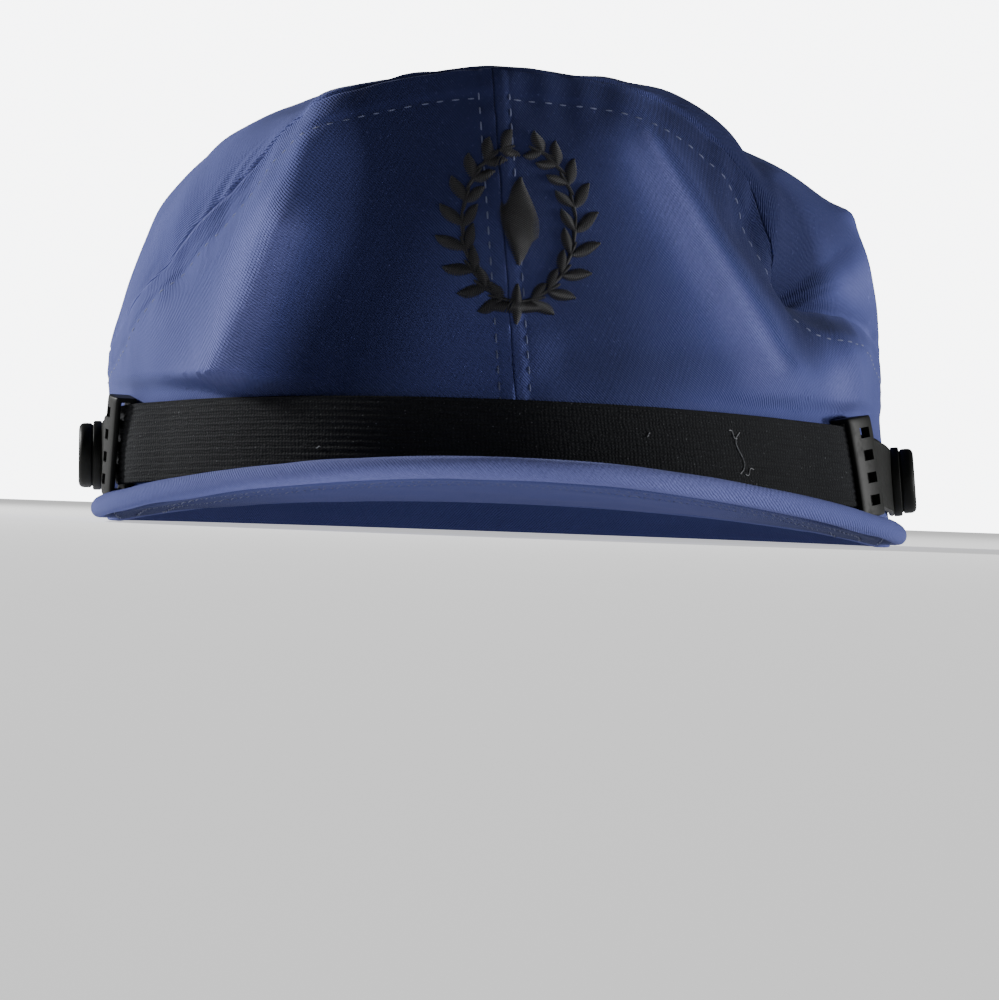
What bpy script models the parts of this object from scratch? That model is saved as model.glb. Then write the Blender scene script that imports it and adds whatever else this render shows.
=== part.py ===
# Soft peaked field cap, resting on a flat surface.
# The crown is cut in three cloth pieces: two walls sewn together at the front and back centre,
# and a full top panel sewn to their upper edge. A stiff cloth covered peak is sewn to the front
# of the rim. A webbing chin strap lies above the peak. At each side it ends in a keeper, and a
# moulded tab leads from the keeper to a round side button.
#
# Metres, +Z up. The origin is the centre of the head opening, on the surface that the cap rests
# on. The front faces -Y, and +X is the wearer's left.
# Angles run round the rim from the front centre, in degrees, positive towards +X.

import math

import bmesh
import bpy
import numpy as np
from mathutils import Matrix, Vector

# Driving sizes of the crown
HALF_WIDTH = 0.0848  # of the outer outline at the rim
HALF_LENGTH = 0.1060
CROWN_HEIGHT = 0.0950  # of the front seam's top end, above the resting surface
TOP_HEIGHT = 0.0900  # of the middle of the top panel
TOP_BACK = 0.0060  # how far behind the origin the middle of the top panel lies
RIM_LIFT = 0.0065  # the arched peak holds the front of the rim this far up
CLOTH = 0.0016  # two layers of twill
SEAM_GAP = 0.0003  # between pieces that are sewn or rest together
SEAM_FLAT = 0.0008  # half the width of the flat band along the top panel's seam
SEAM_OFFSET = 0.0048  # the front seam starts this far to the side of the centre
CROWN_SHIFT = 0.0088  # the soft crown leans this far to the other side at its full height
FOLD_DEPTH = 0.0040  # what a fold of depth 1 stands out from the cloth
HEM = 0.0030  # the wall stands upright this far up from the resting surface
LEAN_POWER = 1.5  # above the hem it leans in more and more

# The peak
PEAK_LENGTH = 0.0530  # from the rim to the front edge, at the centre
PEAK_ROOT_ANGLE = 76.0  # the root ends this far round the rim
PEAK_TIP = 0.0012  # length of the peak where its root ends
PEAK_TAPER = 1.4
PEAK_ARCH = 0.0108  # height of the front edge's underside at the centre
PEAK_SPREAD = 0.0852  # the edge comes down to the surface this far to the side
PEAK_BOARD = 0.0030  # thickness of the covered board
PEAK_ROLL = 0.0042  # thickness of the rolled edge
PEAK_GROOVE = 0.0007  # depth of the stitched groove behind the roll, on the underside

# The chin strap and its fittings
STRAP_WIDTH = 0.0165
STRAP_THICKNESS = 0.0014
STRAP_FRONT_HEIGHT = 0.0186  # height of the strap's middle at the front
STRAP_SIDE_HEIGHT = 0.0140  # height of the side buttons, where the strap comes down to
BUTTON_ANGLE = 84.0
KEEPER_LEFT_ANGLE = 60.0
KEEPER_RIGHT_ANGLE = -65.0
KEEPER_LENGTH = 0.0085  # along the strap
KEEPER_RIM = 0.0011  # of plastic over and under the strap
KEEPER_WALL = 0.0013  # plate in front of the strap and behind it
KEEPER_LEAN = 6.0  # the top leans towards the front by these degrees
KEEPER_BEVEL = 0.0004
STRAP_LIFT_ANGLE = 14.0  # the strap rises off the cloth towards the keeper over this angle
KEEPER_HOLE = 0.0026  # side of each square hole in the outer plate
KEEPER_HOLES = 4
STRAP_SLOPE = 2.6  # the strap runs down towards the buttons at about this angle at the keepers
TAB_HEIGHT = 0.0145
TAB_THICKNESS = 0.0014
TAB_PAST_BUTTON = 0.0060  # the tab's round end reaches this far behind the button's centre
BUTTON_DIAMETER = 0.0140
COLLAR_DIAMETER = 0.0150
COLLAR_HEIGHT = 0.0014
BUTTON_HEIGHT = 0.0031
BUTTON_ROUND = 0.0009

# How finely the cloth is meshed
FRONT_COLUMNS = 32  # each side, from the front seam to MESH_SPLIT
BACK_COLUMNS = 12  # each side, from MESH_SPLIT to the back seam
MESH_SPLIT = 105.0
LOWER_ROWS = 3  # of the wall, behind the strap
UPPER_ROWS = 7
TOP_ROWS = 8
PEAK_COLUMNS = 46
STRAP_COLUMNS = 40
STRAP_ROWS = 3
TAB_COLUMNS = 9
TAB_END_COLUMNS = 4
BUTTON_STEPS = 24

# Sections of the crown, from the back centre round the wearer's right, the front and the left.
# Heights are shares of CROWN_HEIGHT. Lean is how far the wall would lean in at that height, and
# reach is measured from the middle of the crown, both as shares of the rim's outline.
# The top panel starts at the seam, rises towards the rise point and turns over the dome point.
SECTIONS = (
    # angle, seam_height, lean, rise_height, rise_reach, dome_height, dome_reach
    (-180, 0.41, 0.15, 0.62, 0.97, 0.90, 0.74),
    (-135, 0.40, 0.15, 0.63, 0.95, 0.95, 0.80),
    (-105, 0.38, 0.15, 0.62, 0.89, 1.01, 0.83),
    (-85, 0.38, 0.15, 0.62, 0.875, 1.02, 0.825),
    (-67, 0.44, 0.17, 0.68, 0.88, 1.02, 0.775),
    (-57, 0.56, 0.185, 0.76, 0.875, 1.01, 0.72),
    (-49, 0.66, 0.20, 0.82, 0.86, 1.01, 0.66),
    (-41, 0.75, 0.21, 0.87, 0.82, 0.98, 0.58),
    (-31, 0.86, 0.22, 0.91, 0.77, 0.95, 0.50),
    (-23, 0.91, 0.22, 0.94, 0.72, 0.95, 0.45),
    (-10, 0.965, 0.22, 0.98, 0.68, 0.97, 0.40),
    (3, 0.985, 0.22, 1.00, 0.66, 0.97, 0.38),
    (22, 0.97, 0.22, 1.00, 0.68, 0.99, 0.44),
    (31, 0.93, 0.22, 0.98, 0.76, 1.00, 0.58),
    (40, 0.86, 0.20, 0.94, 0.84, 1.00, 0.72),
    (46, 0.77, 0.17, 0.89, 0.88, 0.99, 0.84),
    (50, 0.60, 0.14, 0.80, 0.92, 0.98, 0.92),
    (54, 0.52, 0.12, 0.74, 0.95, 0.97, 0.97),
    (64, 0.50, 0.07, 0.69, 0.99, 0.95, 1.03),
    (78, 0.44, 0.03, 0.66, 1.01, 0.92, 1.06),
    (92, 0.36, 0.03, 0.64, 1.01, 0.92, 1.04),
    (112, 0.36, 0.08, 0.63, 1.00, 0.93, 0.92),
    (140, 0.39, 0.13, 0.62, 0.98, 0.91, 0.80),
)

# Folds of the cloth, placed as seen from the front. Across is a share of HALF_WIDTH, height of
# CROWN_HEIGHT, width of HALF_WIDTH and depth of FOLD_DEPTH, a hollow below zero. A form of 1
# gives a crisp crest and 2 a soft one. Side is -1 for the front half of the crown, 1 for the back.
FOLDS = (
    # name, side, from_across, from_height, to_across, to_height, width, depth, form
    ("right ridge, upper", -1, -0.49, 0.92, -0.585, 0.61, 0.110, 0.95, 1.2),
    ("right ridge, lower", -1, -0.585, 0.61, -0.70, 0.26, 0.120, 0.80, 1.3),
    ("right seam valley", -1, -0.53, 0.83, -0.77, 0.60, 0.075, -0.75, 1.5),
    ("right dome swell", -1, -0.80, 0.62, -0.86, 0.42, 0.110, 0.45, 2.0),
    ("right wall hollow", -1, -0.30, 0.60, -0.42, 0.36, 0.150, -0.55, 2.0),
    ("left ridge", -1, 0.25, 0.93, 0.62, 0.42, 0.085, 1.00, 1.1),
    ("left ridge valley", -1, 0.42, 0.82, 0.60, 0.56, 0.065, -0.70, 1.6),
    ("left seam pleat", -1, 0.63, 0.78, 0.64, 0.52, 0.045, 0.50, 1.6),
    ("left dome dent", -1, 0.71, 0.70, 0.70, 0.56, 0.060, -1.00, 2.0),
    ("left corner", -1, 0.86, 0.73, 0.95, 0.70, 0.060, 1.00, 1.8),
    ("left dart crease", -1, 0.62, 0.41, 0.15, 0.39, 0.060, -0.30, 1.6),
    ("left lower facet", -1, 0.86, 0.44, 0.88, 0.34, 0.060, 0.50, 1.6),
    ("front hollow", -1, 0.10, 0.62, 0.30, 0.40, 0.150, -0.35, 2.0),
    ("back slump, right", 1, -0.20, 0.70, -0.62, 0.52, 0.130, -0.60, 2.0),
    ("back slump, left", 1, 0.16, 0.62, 0.66, 0.60, 0.110, -0.70, 2.0),
    ("back roll", 1, -0.50, 0.46, 0.45, 0.48, 0.100, 0.45, 2.0),
)

CLOTH_BLUE = (0.060, 0.080, 0.215, 1.0)
WEBBING_BLACK = (0.012, 0.013, 0.015, 1.0)
PLASTIC_BLACK = (0.014, 0.015, 0.015, 1.0)


def material(name, colour, roughness, metallic=0.0):
    """A Principled material of one colour."""
    made = bpy.data.materials.new(name)
    made.use_nodes = True
    shader = made.node_tree.nodes["Principled BSDF"]
    shader.inputs["Base Color"].default_value = colour
    shader.inputs["Roughness"].default_value = roughness
    shader.inputs["Metallic"].default_value = metallic
    return made


def collection(name):
    """A new collection in the scene."""
    made = bpy.data.collections.new(name)
    bpy.context.scene.collection.children.link(made)
    return made


def add_object(name, mesh, group, look):
    """An object of this mesh in the group, with its material."""
    made = bpy.data.objects.new(name, mesh)
    group.objects.link(made)
    mesh.shade_smooth()
    mesh.set_sharp_from_angle(angle=math.radians(40.0))
    if look is not None:
        mesh.materials.append(look)
    return made


def smooth_step(value, low, high):
    """0 up to low, 1 from high on, and a smooth rise between."""
    share = np.clip((value - low) / (high - low), 0.0, 1.0)
    return share * share * (3.0 - 2.0 * share)


def section_values(angle):
    """The columns of SECTIONS at each angle, along curves that never overshoot a row."""
    table = np.array(SECTIONS, dtype=float)
    knots = np.append(table[:, 0], table[0, 0] + 360.0)
    values = np.vstack([table[:, 1:], table[0, 1:]])
    steps = np.diff(knots)[:, None]
    slopes = np.diff(values, axis=0) / steps
    before = np.vstack([slopes[-1:], slopes])
    after = np.vstack([slopes, slopes[:1]])
    product = before * after
    total = before + after
    safe_total = np.where(np.abs(total) > 1e-12, total, 1.0)
    tangents = np.where(product > 0, 2.0 * product / safe_total, 0.0)
    wrapped = (np.asarray(angle, dtype=float) - knots[0]) % 360.0 + knots[0]
    place = np.clip(np.searchsorted(knots, wrapped, side="right") - 1, 0, len(steps) - 1)
    step = steps[place, 0]
    part = ((wrapped - knots[place]) / step)[..., None]
    step = step[..., None]
    start = values[place] * (1.0 + 2.0 * part) * (1.0 - part) ** 2
    start_slope = tangents[place] * step * part * (1.0 - part) ** 2
    end = values[place + 1] * part ** 2 * (3.0 - 2.0 * part)
    end_slope = tangents[place + 1] * step * part ** 2 * (part - 1.0)
    read = start + start_slope + end + end_slope
    return np.moveaxis(read, -1, 0)


def rim_height(angle):
    """Height of the rim's lower edge: raised at the front, on the surface elsewhere."""
    share = np.clip(1.0 - (np.asarray(angle) / PEAK_ROOT_ANGLE) ** 2, 0.0, 1.0)
    return RIM_LIFT * share ** 1.5


def outline_normal(angle):
    """Level direction out of the rim's outline."""
    turn = np.radians(angle)
    across = np.sin(turn) / HALF_WIDTH
    along = -np.cos(turn) / HALF_LENGTH
    size = np.hypot(across, along)
    return across / size, along / size


def fold_push(x, y, z):
    """How far the folds push the cloth out at each point, in metres."""
    push = np.zeros(np.broadcast(x, y, z).shape)
    front = 1.0 - smooth_step(y, -0.25 * HALF_LENGTH, 0.10 * HALF_LENGTH)
    fold_start = strap_top() + SEAM_GAP
    above_strap = smooth_step(z, fold_start, fold_start + 0.08 * CROWN_HEIGHT)
    for _, side, across_0, height_0, across_1, height_1, width, depth, form in FOLDS:
        start_x = across_0 * HALF_WIDTH
        start_z = height_0 * CROWN_HEIGHT
        run_x = across_1 * HALF_WIDTH - start_x
        run_z = height_1 * CROWN_HEIGHT - start_z
        share = ((x - start_x) * run_x + (z - start_z) * run_z) / (run_x ** 2 + run_z ** 2)
        share = np.clip(share, 0.0, 1.0)
        away = np.hypot(x - start_x - share * run_x, z - start_z - share * run_z)
        weight = front if side < 0 else 1.0 - front
        crest = np.exp(-(away / (width * HALF_WIDTH)) ** form)
        push = push + weight * depth * FOLD_DEPTH * crest
    return push * above_strap


def pushed(x, y, z, angle, tilt):
    """Move points out by their folds, in a direction that tilts up from level by these radians."""
    push = fold_push(x, y, z)
    normal_x, normal_y = outline_normal(angle)
    level = push * np.cos(tilt)
    return np.stack([x + level * normal_x, y + level * normal_y, z + push * np.sin(tilt)], axis=-1)


def wall_point(angle, height):
    """Outer face of the side wall at an angle round the rim and a height."""
    _, lean, _, _, _, _ = section_values(angle)
    share = np.clip(height - HEM, 0.0, None) / CROWN_HEIGHT
    reach = 1.0 - lean * share ** LEAN_POWER
    turn = np.radians(angle)
    x = HALF_WIDTH * np.sin(turn) * reach - CROWN_SHIFT * share
    y = -HALF_LENGTH * np.cos(turn) * reach
    return pushed(x, y, height, angle, 0.25 * share)


def top_point(angle, run):
    """Outer face of the top panel: run is 0 at its seam and 1 in the middle of the crown."""
    seam_height, lean, rise_height, rise_reach, dome_height, dome_reach = section_values(angle)
    seam_reach = 1.0 - lean * (seam_height - HEM / CROWN_HEIGHT) ** LEAN_POWER
    weights = ((1 - run) ** 3, 3 * run * (1 - run) ** 2, 3 * run ** 2 * (1 - run), run ** 3)
    middle = TOP_HEIGHT / CROWN_HEIGHT
    reach = weights[0] * seam_reach + weights[1] * rise_reach + weights[2] * dome_reach
    share = (weights[0] * seam_height + weights[1] * rise_height + weights[2] * dome_height
             + weights[3] * middle)
    turn = np.radians(angle)
    above_hem = share - HEM / CROWN_HEIGHT
    x = HALF_WIDTH * np.sin(turn) * reach - CROWN_SHIFT * above_hem
    y = -HALF_LENGTH * np.cos(turn) * reach + TOP_BACK * run ** 2
    z = share * CROWN_HEIGHT
    tilt = 0.25 * seam_height + (0.5 * math.pi - 0.25 * seam_height) * np.sqrt(run)
    return pushed(x, y, z, angle, tilt)


def seam_line(angle):
    """Points of the wall and of the top panel at both sides of their seam, on one flat band."""
    seam_height = section_values(angle)[0] * CROWN_HEIGHT
    wall_side = wall_point(angle, seam_height - SEAM_FLAT)
    first_run = 0.02
    speed = np.linalg.norm(top_point(angle, first_run) - wall_point(angle, seam_height), axis=-1)
    top_side = top_point(angle, first_run * SEAM_FLAT / speed)
    band = top_side - wall_side
    half_gap = 0.5 * SEAM_GAP / np.linalg.norm(band, axis=-1, keepdims=True)
    wall_edge = wall_side + band * (0.5 - half_gap)
    top_edge = wall_side + band * (0.5 + half_gap)
    return wall_side, wall_edge, top_edge, top_side


def front_seam_angle():
    """Angle at which the front seam starts."""
    return math.degrees(math.asin(SEAM_OFFSET / HALF_WIDTH))


def half_columns(side):
    """Angles of one half's columns, from the front seam to the back seam."""
    front = np.linspace(front_seam_angle(), side * MESH_SPLIT, FRONT_COLUMNS)
    back = np.linspace(side * MESH_SPLIT, side * 180.0, BACK_COLUMNS)
    return np.concatenate([front, back[1:]])


def grid_mesh(name, points, ring=False, middle=None):
    """Faces between the rows of points. A ring joins its ends, and a middle point closes it.

    Rows run towards the inside of the ring, and columns turn from the wearer's right to the left,
    which makes the faces point out of the crown.
    """
    rows, columns = points.shape[:2]
    shape = bmesh.new()
    grid = [[shape.verts.new(point) for point in row] for row in points]
    last = columns if ring else columns - 1
    for row in range(rows - 1):
        for column in range(last):
            after = (column + 1) % columns
            corners = (grid[row][column], grid[row][after], grid[row + 1][after],
                       grid[row + 1][column])
            shape.faces.new(corners)
    if middle is not None:
        centre = shape.verts.new(middle)
        for column in range(columns):
            shape.faces.new((grid[-1][column], grid[-1][(column + 1) % columns], centre))
    made = bpy.data.meshes.new(name)
    shape.to_mesh(made)
    shape.free()
    return made


def loft_mesh(name, sections):
    """A closed solid through closed sections of equal point counts, capped at both ends."""
    shape = bmesh.new()
    loops = [[shape.verts.new(point) for point in section] for section in sections]
    count = len(loops[0])
    for first, second in zip(loops, loops[1:]):
        for place in range(count):
            after = (place + 1) % count
            shape.faces.new((first[place], second[place], second[after], first[after]))
    shape.faces.new(loops[0])
    shape.faces.new(list(reversed(loops[-1])))
    bmesh.ops.recalc_face_normals(shape, faces=shape.faces)
    made = bpy.data.meshes.new(name)
    shape.to_mesh(made)
    shape.free()
    return made


def thicken(thing, thickness, offset):
    """Give an open surface its thickness."""
    solid = thing.modifiers.new("Cloth thickness", "SOLIDIFY")
    solid.thickness = thickness
    solid.offset = offset
    solid.use_quality_normals = True


def make_wall(name, side, group, look):
    """One half of the side wall: rows from the rim to the seam of the top panel."""
    angles = half_columns(side)
    half_gap = math.degrees(0.5 * SEAM_GAP / HALF_WIDTH)
    angles[0] += side * half_gap
    angles[-1] -= side * half_gap
    wall_side, wall_edge, _, _ = seam_line(angles)
    rim = rim_height(angles)
    hem = np.maximum(HEM, rim + 0.5 * HEM)
    fold_start = np.full(angles.shape, strap_top() + SEAM_GAP)
    rows = [wall_point(angles, rim)]
    for share in np.linspace(0.0, 1.0, LOWER_ROWS + 1)[:-1]:
        rows.append(wall_point(angles, hem + share * (fold_start - hem)))
    for share in np.linspace(0.0, 1.0, UPPER_ROWS + 1)[:-1]:
        rows.append(wall_point(angles, fold_start + share * (wall_side[:, 2] - fold_start)))
    points = np.array(rows + [wall_side, wall_edge])
    if side < 0:
        points = points[:, ::-1]
    wall = add_object(name, grid_mesh(name, points), group, look)
    thicken(wall, CLOTH, -1.0)
    return wall


def make_top(group, look):
    """The top panel: rings from its seam to the middle of the crown."""
    right = half_columns(-1)[::-1]
    left = half_columns(1)
    angles = np.concatenate([right[:-1], left[:-1]])
    _, _, top_edge, top_side = seam_line(angles)
    rings = [top_edge, top_side]
    for run in np.linspace(0.0, 1.0, TOP_ROWS + 1)[1:-1]:
        rings.append(top_point(angles, np.full(angles.shape, run)))
    middle = top_point(np.array([0.0]), np.array([1.0]))[0]
    panel = add_object("top_panel", grid_mesh("top_panel", np.array(rings), True, middle),
                       group, look)
    thicken(panel, CLOTH, -1.0)
    return panel


def peak_section(angle):
    """Closed outline of the peak across its root, from the root's lower edge."""
    normal_x, normal_y = outline_normal(angle)
    turn = math.radians(angle)
    taper = math.cos(0.5 * math.pi * angle / PEAK_ROOT_ANGLE)
    length = max(PEAK_TIP, PEAK_LENGTH * max(taper, 0.0) ** PEAK_TAPER)
    root_x = HALF_WIDTH * math.sin(turn) + SEAM_GAP * normal_x
    root_y = -HALF_LENGTH * math.cos(turn) + SEAM_GAP * normal_y
    edge_x = root_x + length * normal_x
    root_z = float(rim_height(angle))
    edge_z = max(0.0, PEAK_ARCH * (1.0 - (edge_x / PEAK_SPREAD) ** 2))
    roll = min(0.5 * PEAK_ROLL, 0.45 * length)
    groove = PEAK_GROOVE * smooth_step(length, 2.0 * PEAK_ROLL, 4.0 * PEAK_ROLL)
    rise = PEAK_ROLL - PEAK_BOARD
    flat = max(length - 2.4 * roll, 0.3 * length)
    # distance from the root and height over the line from the root's underside to the edge's
    outline = [(0.0, 0.0), (0.5 * flat, 0.0), (flat, 0.0), (flat + 0.2 * roll, groove)]
    for part in range(7):
        bend = math.radians(-100.0 + 200.0 * part / 6.0)
        outline.append((length - roll + roll * math.cos(bend),
                        0.5 * PEAK_ROLL + 0.5 * PEAK_ROLL * math.sin(bend)))
    outline += [(flat, PEAK_ROLL - 0.6 * rise), (0.5 * flat, PEAK_BOARD), (0.0, PEAK_BOARD)]
    section = []
    for away, over in outline:
        share = away / length
        height = root_z + (edge_z - root_z) * share + over
        section.append((root_x + away * normal_x, root_y + away * normal_y, height))
    return section


def make_peak(group, look):
    """The peak: a loft of its sections along the root."""
    spread = np.sin(np.linspace(-0.5 * math.pi, 0.5 * math.pi, PEAK_COLUMNS + 1))
    even = np.linspace(-1.0, 1.0, PEAK_COLUMNS + 1)
    angles = PEAK_ROOT_ANGLE * (0.6 * even + 0.4 * spread)
    sections = [peak_section(float(angle)) for angle in angles]
    return add_object("peak", loft_mesh("peak", sections), group, look)


def strap_height(angle):
    """Height of the strap's middle: highest at the front and lowest at the side buttons."""
    share = np.clip(np.abs(angle) / BUTTON_ANGLE, 0.0, None)
    return STRAP_FRONT_HEIGHT - (STRAP_FRONT_HEIGHT - STRAP_SIDE_HEIGHT) * share ** 2


def strap_top():
    """Highest point of the strap's upper edge."""
    return STRAP_FRONT_HEIGHT + 0.5 * STRAP_WIDTH


def band_points(angles, width, rows, clearance):
    """Rows of points over the wall, along the strap's line, this far clear of the cloth."""
    normal_x, normal_y = outline_normal(angles)
    middle = strap_height(angles)
    made = []
    for share in np.linspace(-0.5, 0.5, rows + 1):
        points = wall_point(angles, middle + share * width)
        points[:, 0] += clearance * normal_x
        points[:, 1] += clearance * normal_y
        made.append(points)
    return np.array(made)


def arc_angle(angle, length):
    """Degrees round the rim that a short length takes at this angle."""
    turn = math.radians(angle)
    speed = math.hypot(HALF_WIDTH * math.cos(turn), HALF_LENGTH * math.sin(turn))
    return math.degrees(length / speed)


def strap_clearance(angles):
    """From the wall to the strap, which rises where a keeper's back plate passes behind it."""
    keeper = np.where(np.asarray(angles) < 0, KEEPER_RIGHT_ANGLE, KEEPER_LEFT_ANGLE)
    away = np.abs(np.asarray(angles) - keeper)
    near = 1.0 - smooth_step(away, 0.3 * STRAP_LIFT_ANGLE, STRAP_LIFT_ANGLE)
    return SEAM_GAP + (KEEPER_WALL + SEAM_GAP) * near


def make_strap(group, look):
    """The webbing, from inside one keeper to inside the other."""
    start = KEEPER_RIGHT_ANGLE + arc_angle(KEEPER_RIGHT_ANGLE, 0.5 * SEAM_GAP)
    end = KEEPER_LEFT_ANGLE - arc_angle(KEEPER_LEFT_ANGLE, 0.5 * SEAM_GAP)
    angles = np.linspace(start, end, STRAP_COLUMNS + 1)
    points = band_points(angles, STRAP_WIDTH, STRAP_ROWS, strap_clearance(angles))
    strap = add_object("chin_strap", grid_mesh("chin_strap", points), group, look)
    thicken(strap, STRAP_THICKNESS, 1.0)
    return strap


def make_tab(name, keeper_angle, group, look):
    """A moulded tab from inside the keeper to its round end behind the button."""
    side = math.copysign(1.0, keeper_angle)
    start = abs(keeper_angle) + arc_angle(keeper_angle, 0.5 * SEAM_GAP)
    end = BUTTON_ANGLE + arc_angle(BUTTON_ANGLE, TAB_PAST_BUTTON)
    straight = np.linspace(start, BUTTON_ANGLE, TAB_COLUMNS + 1)
    bend = np.linspace(0.0, 1.0, TAB_END_COLUMNS + 1)[1:]
    angles = np.concatenate([straight, BUTTON_ANGLE + (end - BUTTON_ANGLE) * bend])
    heights = np.full(angles.shape, TAB_HEIGHT)
    heights[len(straight):] *= np.sqrt(1.0 - 0.93 * bend ** 2)
    if side < 0:
        angles = -angles[::-1]
        heights = heights[::-1]
    points = band_points(angles, heights, STRAP_ROWS, strap_clearance(angles))
    tab = add_object(name, grid_mesh(name, points), group, look)
    thicken(tab, TAB_THICKNESS, 1.0)
    return tab


def wall_frame(angle, clearance):
    """Matrix at the strap's line: X runs round the rim, Y up the wall and Z out of it."""
    height = float(strap_height(angle))
    step = 0.5

    def point(turned, raised):
        return Vector(wall_point(np.array([turned]), np.array([raised]))[0])

    along = (point(angle + step, height) - point(angle - step, height)).normalized()
    up = (point(angle, height + 0.001) - point(angle, height - 0.001)).normalized()
    out = along.cross(up).normalized()
    up = out.cross(along).normalized()
    place = point(angle, height) + out * clearance
    return Matrix.Translation(place) @ Matrix((along, up, out)).transposed().to_4x4()


def box_mesh(name, sizes, places=((0.0, 0.0, 0.0),)):
    """A mesh of boxes of one size."""
    shape = bmesh.new()
    for place in places:
        matrix = Matrix.Translation(place) @ Matrix.Diagonal((*sizes, 1.0))
        bmesh.ops.create_cube(shape, size=1.0, matrix=matrix)
    made = bpy.data.meshes.new(name)
    shape.to_mesh(made)
    shape.free()
    return made


def cut(thing, cutter):
    """Take the cutter's volume out of the thing."""
    cutter.hide_render = True
    cutter.display_type = "WIRE"
    boolean = thing.modifiers.new("Cut by " + cutter.name, "BOOLEAN")
    boolean.operation = "DIFFERENCE"
    boolean.solver = "EXACT"
    boolean.object = cutter


def make_keeper(name, angle, group, cutters, look):
    """A slide: a box with a slot for the strap and square holes through its outer plate."""
    slant = math.radians(KEEPER_LEAN + STRAP_SLOPE)
    slot_height = (STRAP_WIDTH / math.cos(slant) + KEEPER_LENGTH * math.tan(slant)
                   + 2.0 * SEAM_GAP)
    slot_depth = max(STRAP_THICKNESS, TAB_THICKNESS) + 2.0 * SEAM_GAP
    depth = slot_depth + 2.0 * KEEPER_WALL
    height = slot_height + 2.0 * KEEPER_RIM
    lean = Matrix.Rotation(math.copysign(math.radians(KEEPER_LEAN), angle), 4, "Z")
    frame = wall_frame(angle, SEAM_GAP + 0.5 * depth) @ lean

    keeper = add_object(name, box_mesh(name, (KEEPER_LENGTH, height, depth)), group, look)
    keeper.matrix_world = frame
    bevel = keeper.modifiers.new("Moulded edges", "BEVEL")
    bevel.width = KEEPER_BEVEL
    bevel.segments = 1

    slot = add_object(name + "_slot", box_mesh(name + "_slot", (2.0 * KEEPER_LENGTH, slot_height,
                                                                slot_depth)), cutters, None)
    slot.matrix_world = frame
    cut(keeper, slot)

    pitch = slot_height / KEEPER_HOLES
    first = -0.5 * (KEEPER_HOLES - 1)
    places = [(0.0, (first + number) * pitch, 0.5 * depth) for number in range(KEEPER_HOLES)]
    sizes = (KEEPER_HOLE, KEEPER_HOLE, 2.0 * KEEPER_WALL + SEAM_GAP)
    holes = add_object(name + "_holes", box_mesh(name + "_holes", sizes, places), cutters, None)
    holes.matrix_world = frame
    cut(keeper, holes)
    return keeper


def make_button(name, angle, group, look):
    """A round button with a stepped collar, turned about its own axis."""
    radius = 0.5 * BUTTON_DIAMETER
    collar = 0.5 * COLLAR_DIAMETER
    top = COLLAR_HEIGHT + BUTTON_HEIGHT
    profile = (
        (0.0, top),
        (radius - 2.0 * BUTTON_ROUND, top),
        (radius - 0.6 * BUTTON_ROUND, top - 0.25 * BUTTON_ROUND),
        (radius, top - BUTTON_ROUND),
        (radius, COLLAR_HEIGHT),
        (collar - 0.4 * BUTTON_ROUND, COLLAR_HEIGHT),
        (collar, COLLAR_HEIGHT - 0.4 * BUTTON_ROUND),
        (collar, 0.0),
        (0.0, 0.0),
    )
    shape = bmesh.new()
    points = [shape.verts.new((away, 0.0, over)) for away, over in profile]
    for first, second in zip(points, points[1:]):
        shape.edges.new((first, second))
    mesh = bpy.data.meshes.new(name)
    shape.to_mesh(mesh)
    shape.free()
    button = add_object(name, mesh, group, look)
    turned = button.modifiers.new("Turned", "SCREW")
    turned.steps = BUTTON_STEPS
    turned.render_steps = BUTTON_STEPS
    turned.use_merge_vertices = True
    turned.merge_threshold = 0.00001
    clearance = float(strap_clearance(angle)) + TAB_THICKNESS + SEAM_GAP
    button.matrix_world = wall_frame(angle, clearance)
    return button


def main():
    """Clear the scene and build the cap."""
    for thing in list(bpy.data.objects):
        bpy.data.objects.remove(thing)
    group = collection("peaked_cap")
    cutters = collection("cutters")
    cloth = material("blue twill", CLOTH_BLUE, 0.9)
    webbing = material("black webbing", WEBBING_BLACK, 0.85)
    plastic = material("black plastic", PLASTIC_BLACK, 0.5)

    make_wall("wall_left", 1, group, cloth)
    make_wall("wall_right", -1, group, cloth)
    make_top(group, cloth)
    make_peak(group, cloth)
    make_strap(group, webbing)
    for side_name, keeper_angle in (("left", KEEPER_LEFT_ANGLE), ("right", KEEPER_RIGHT_ANGLE)):
        button_angle = math.copysign(BUTTON_ANGLE, keeper_angle)
        make_keeper("strap_keeper_" + side_name, keeper_angle, group, cutters, plastic)
        make_tab("strap_tab_" + side_name, keeper_angle, group, plastic)
        make_button("button_" + side_name, button_angle, group, plastic)


main()
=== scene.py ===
# %% [markdown]
# # A soft peaked field cap
# The cap is three pieces of cotton twill sewn into a crown, a stiff cloth covered peak, and a
# webbing chin strap that ends in plastic fittings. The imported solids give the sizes. This script
# replaces each one with a finer surface in the same place, and gives every surface its finish.
# Metres, +Z up, the front faces -Y and +X is the wearer's left.

# %% Load the fixed frame
import math

import bpy
import numpy as np
from mathutils import Matrix, Vector


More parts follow.
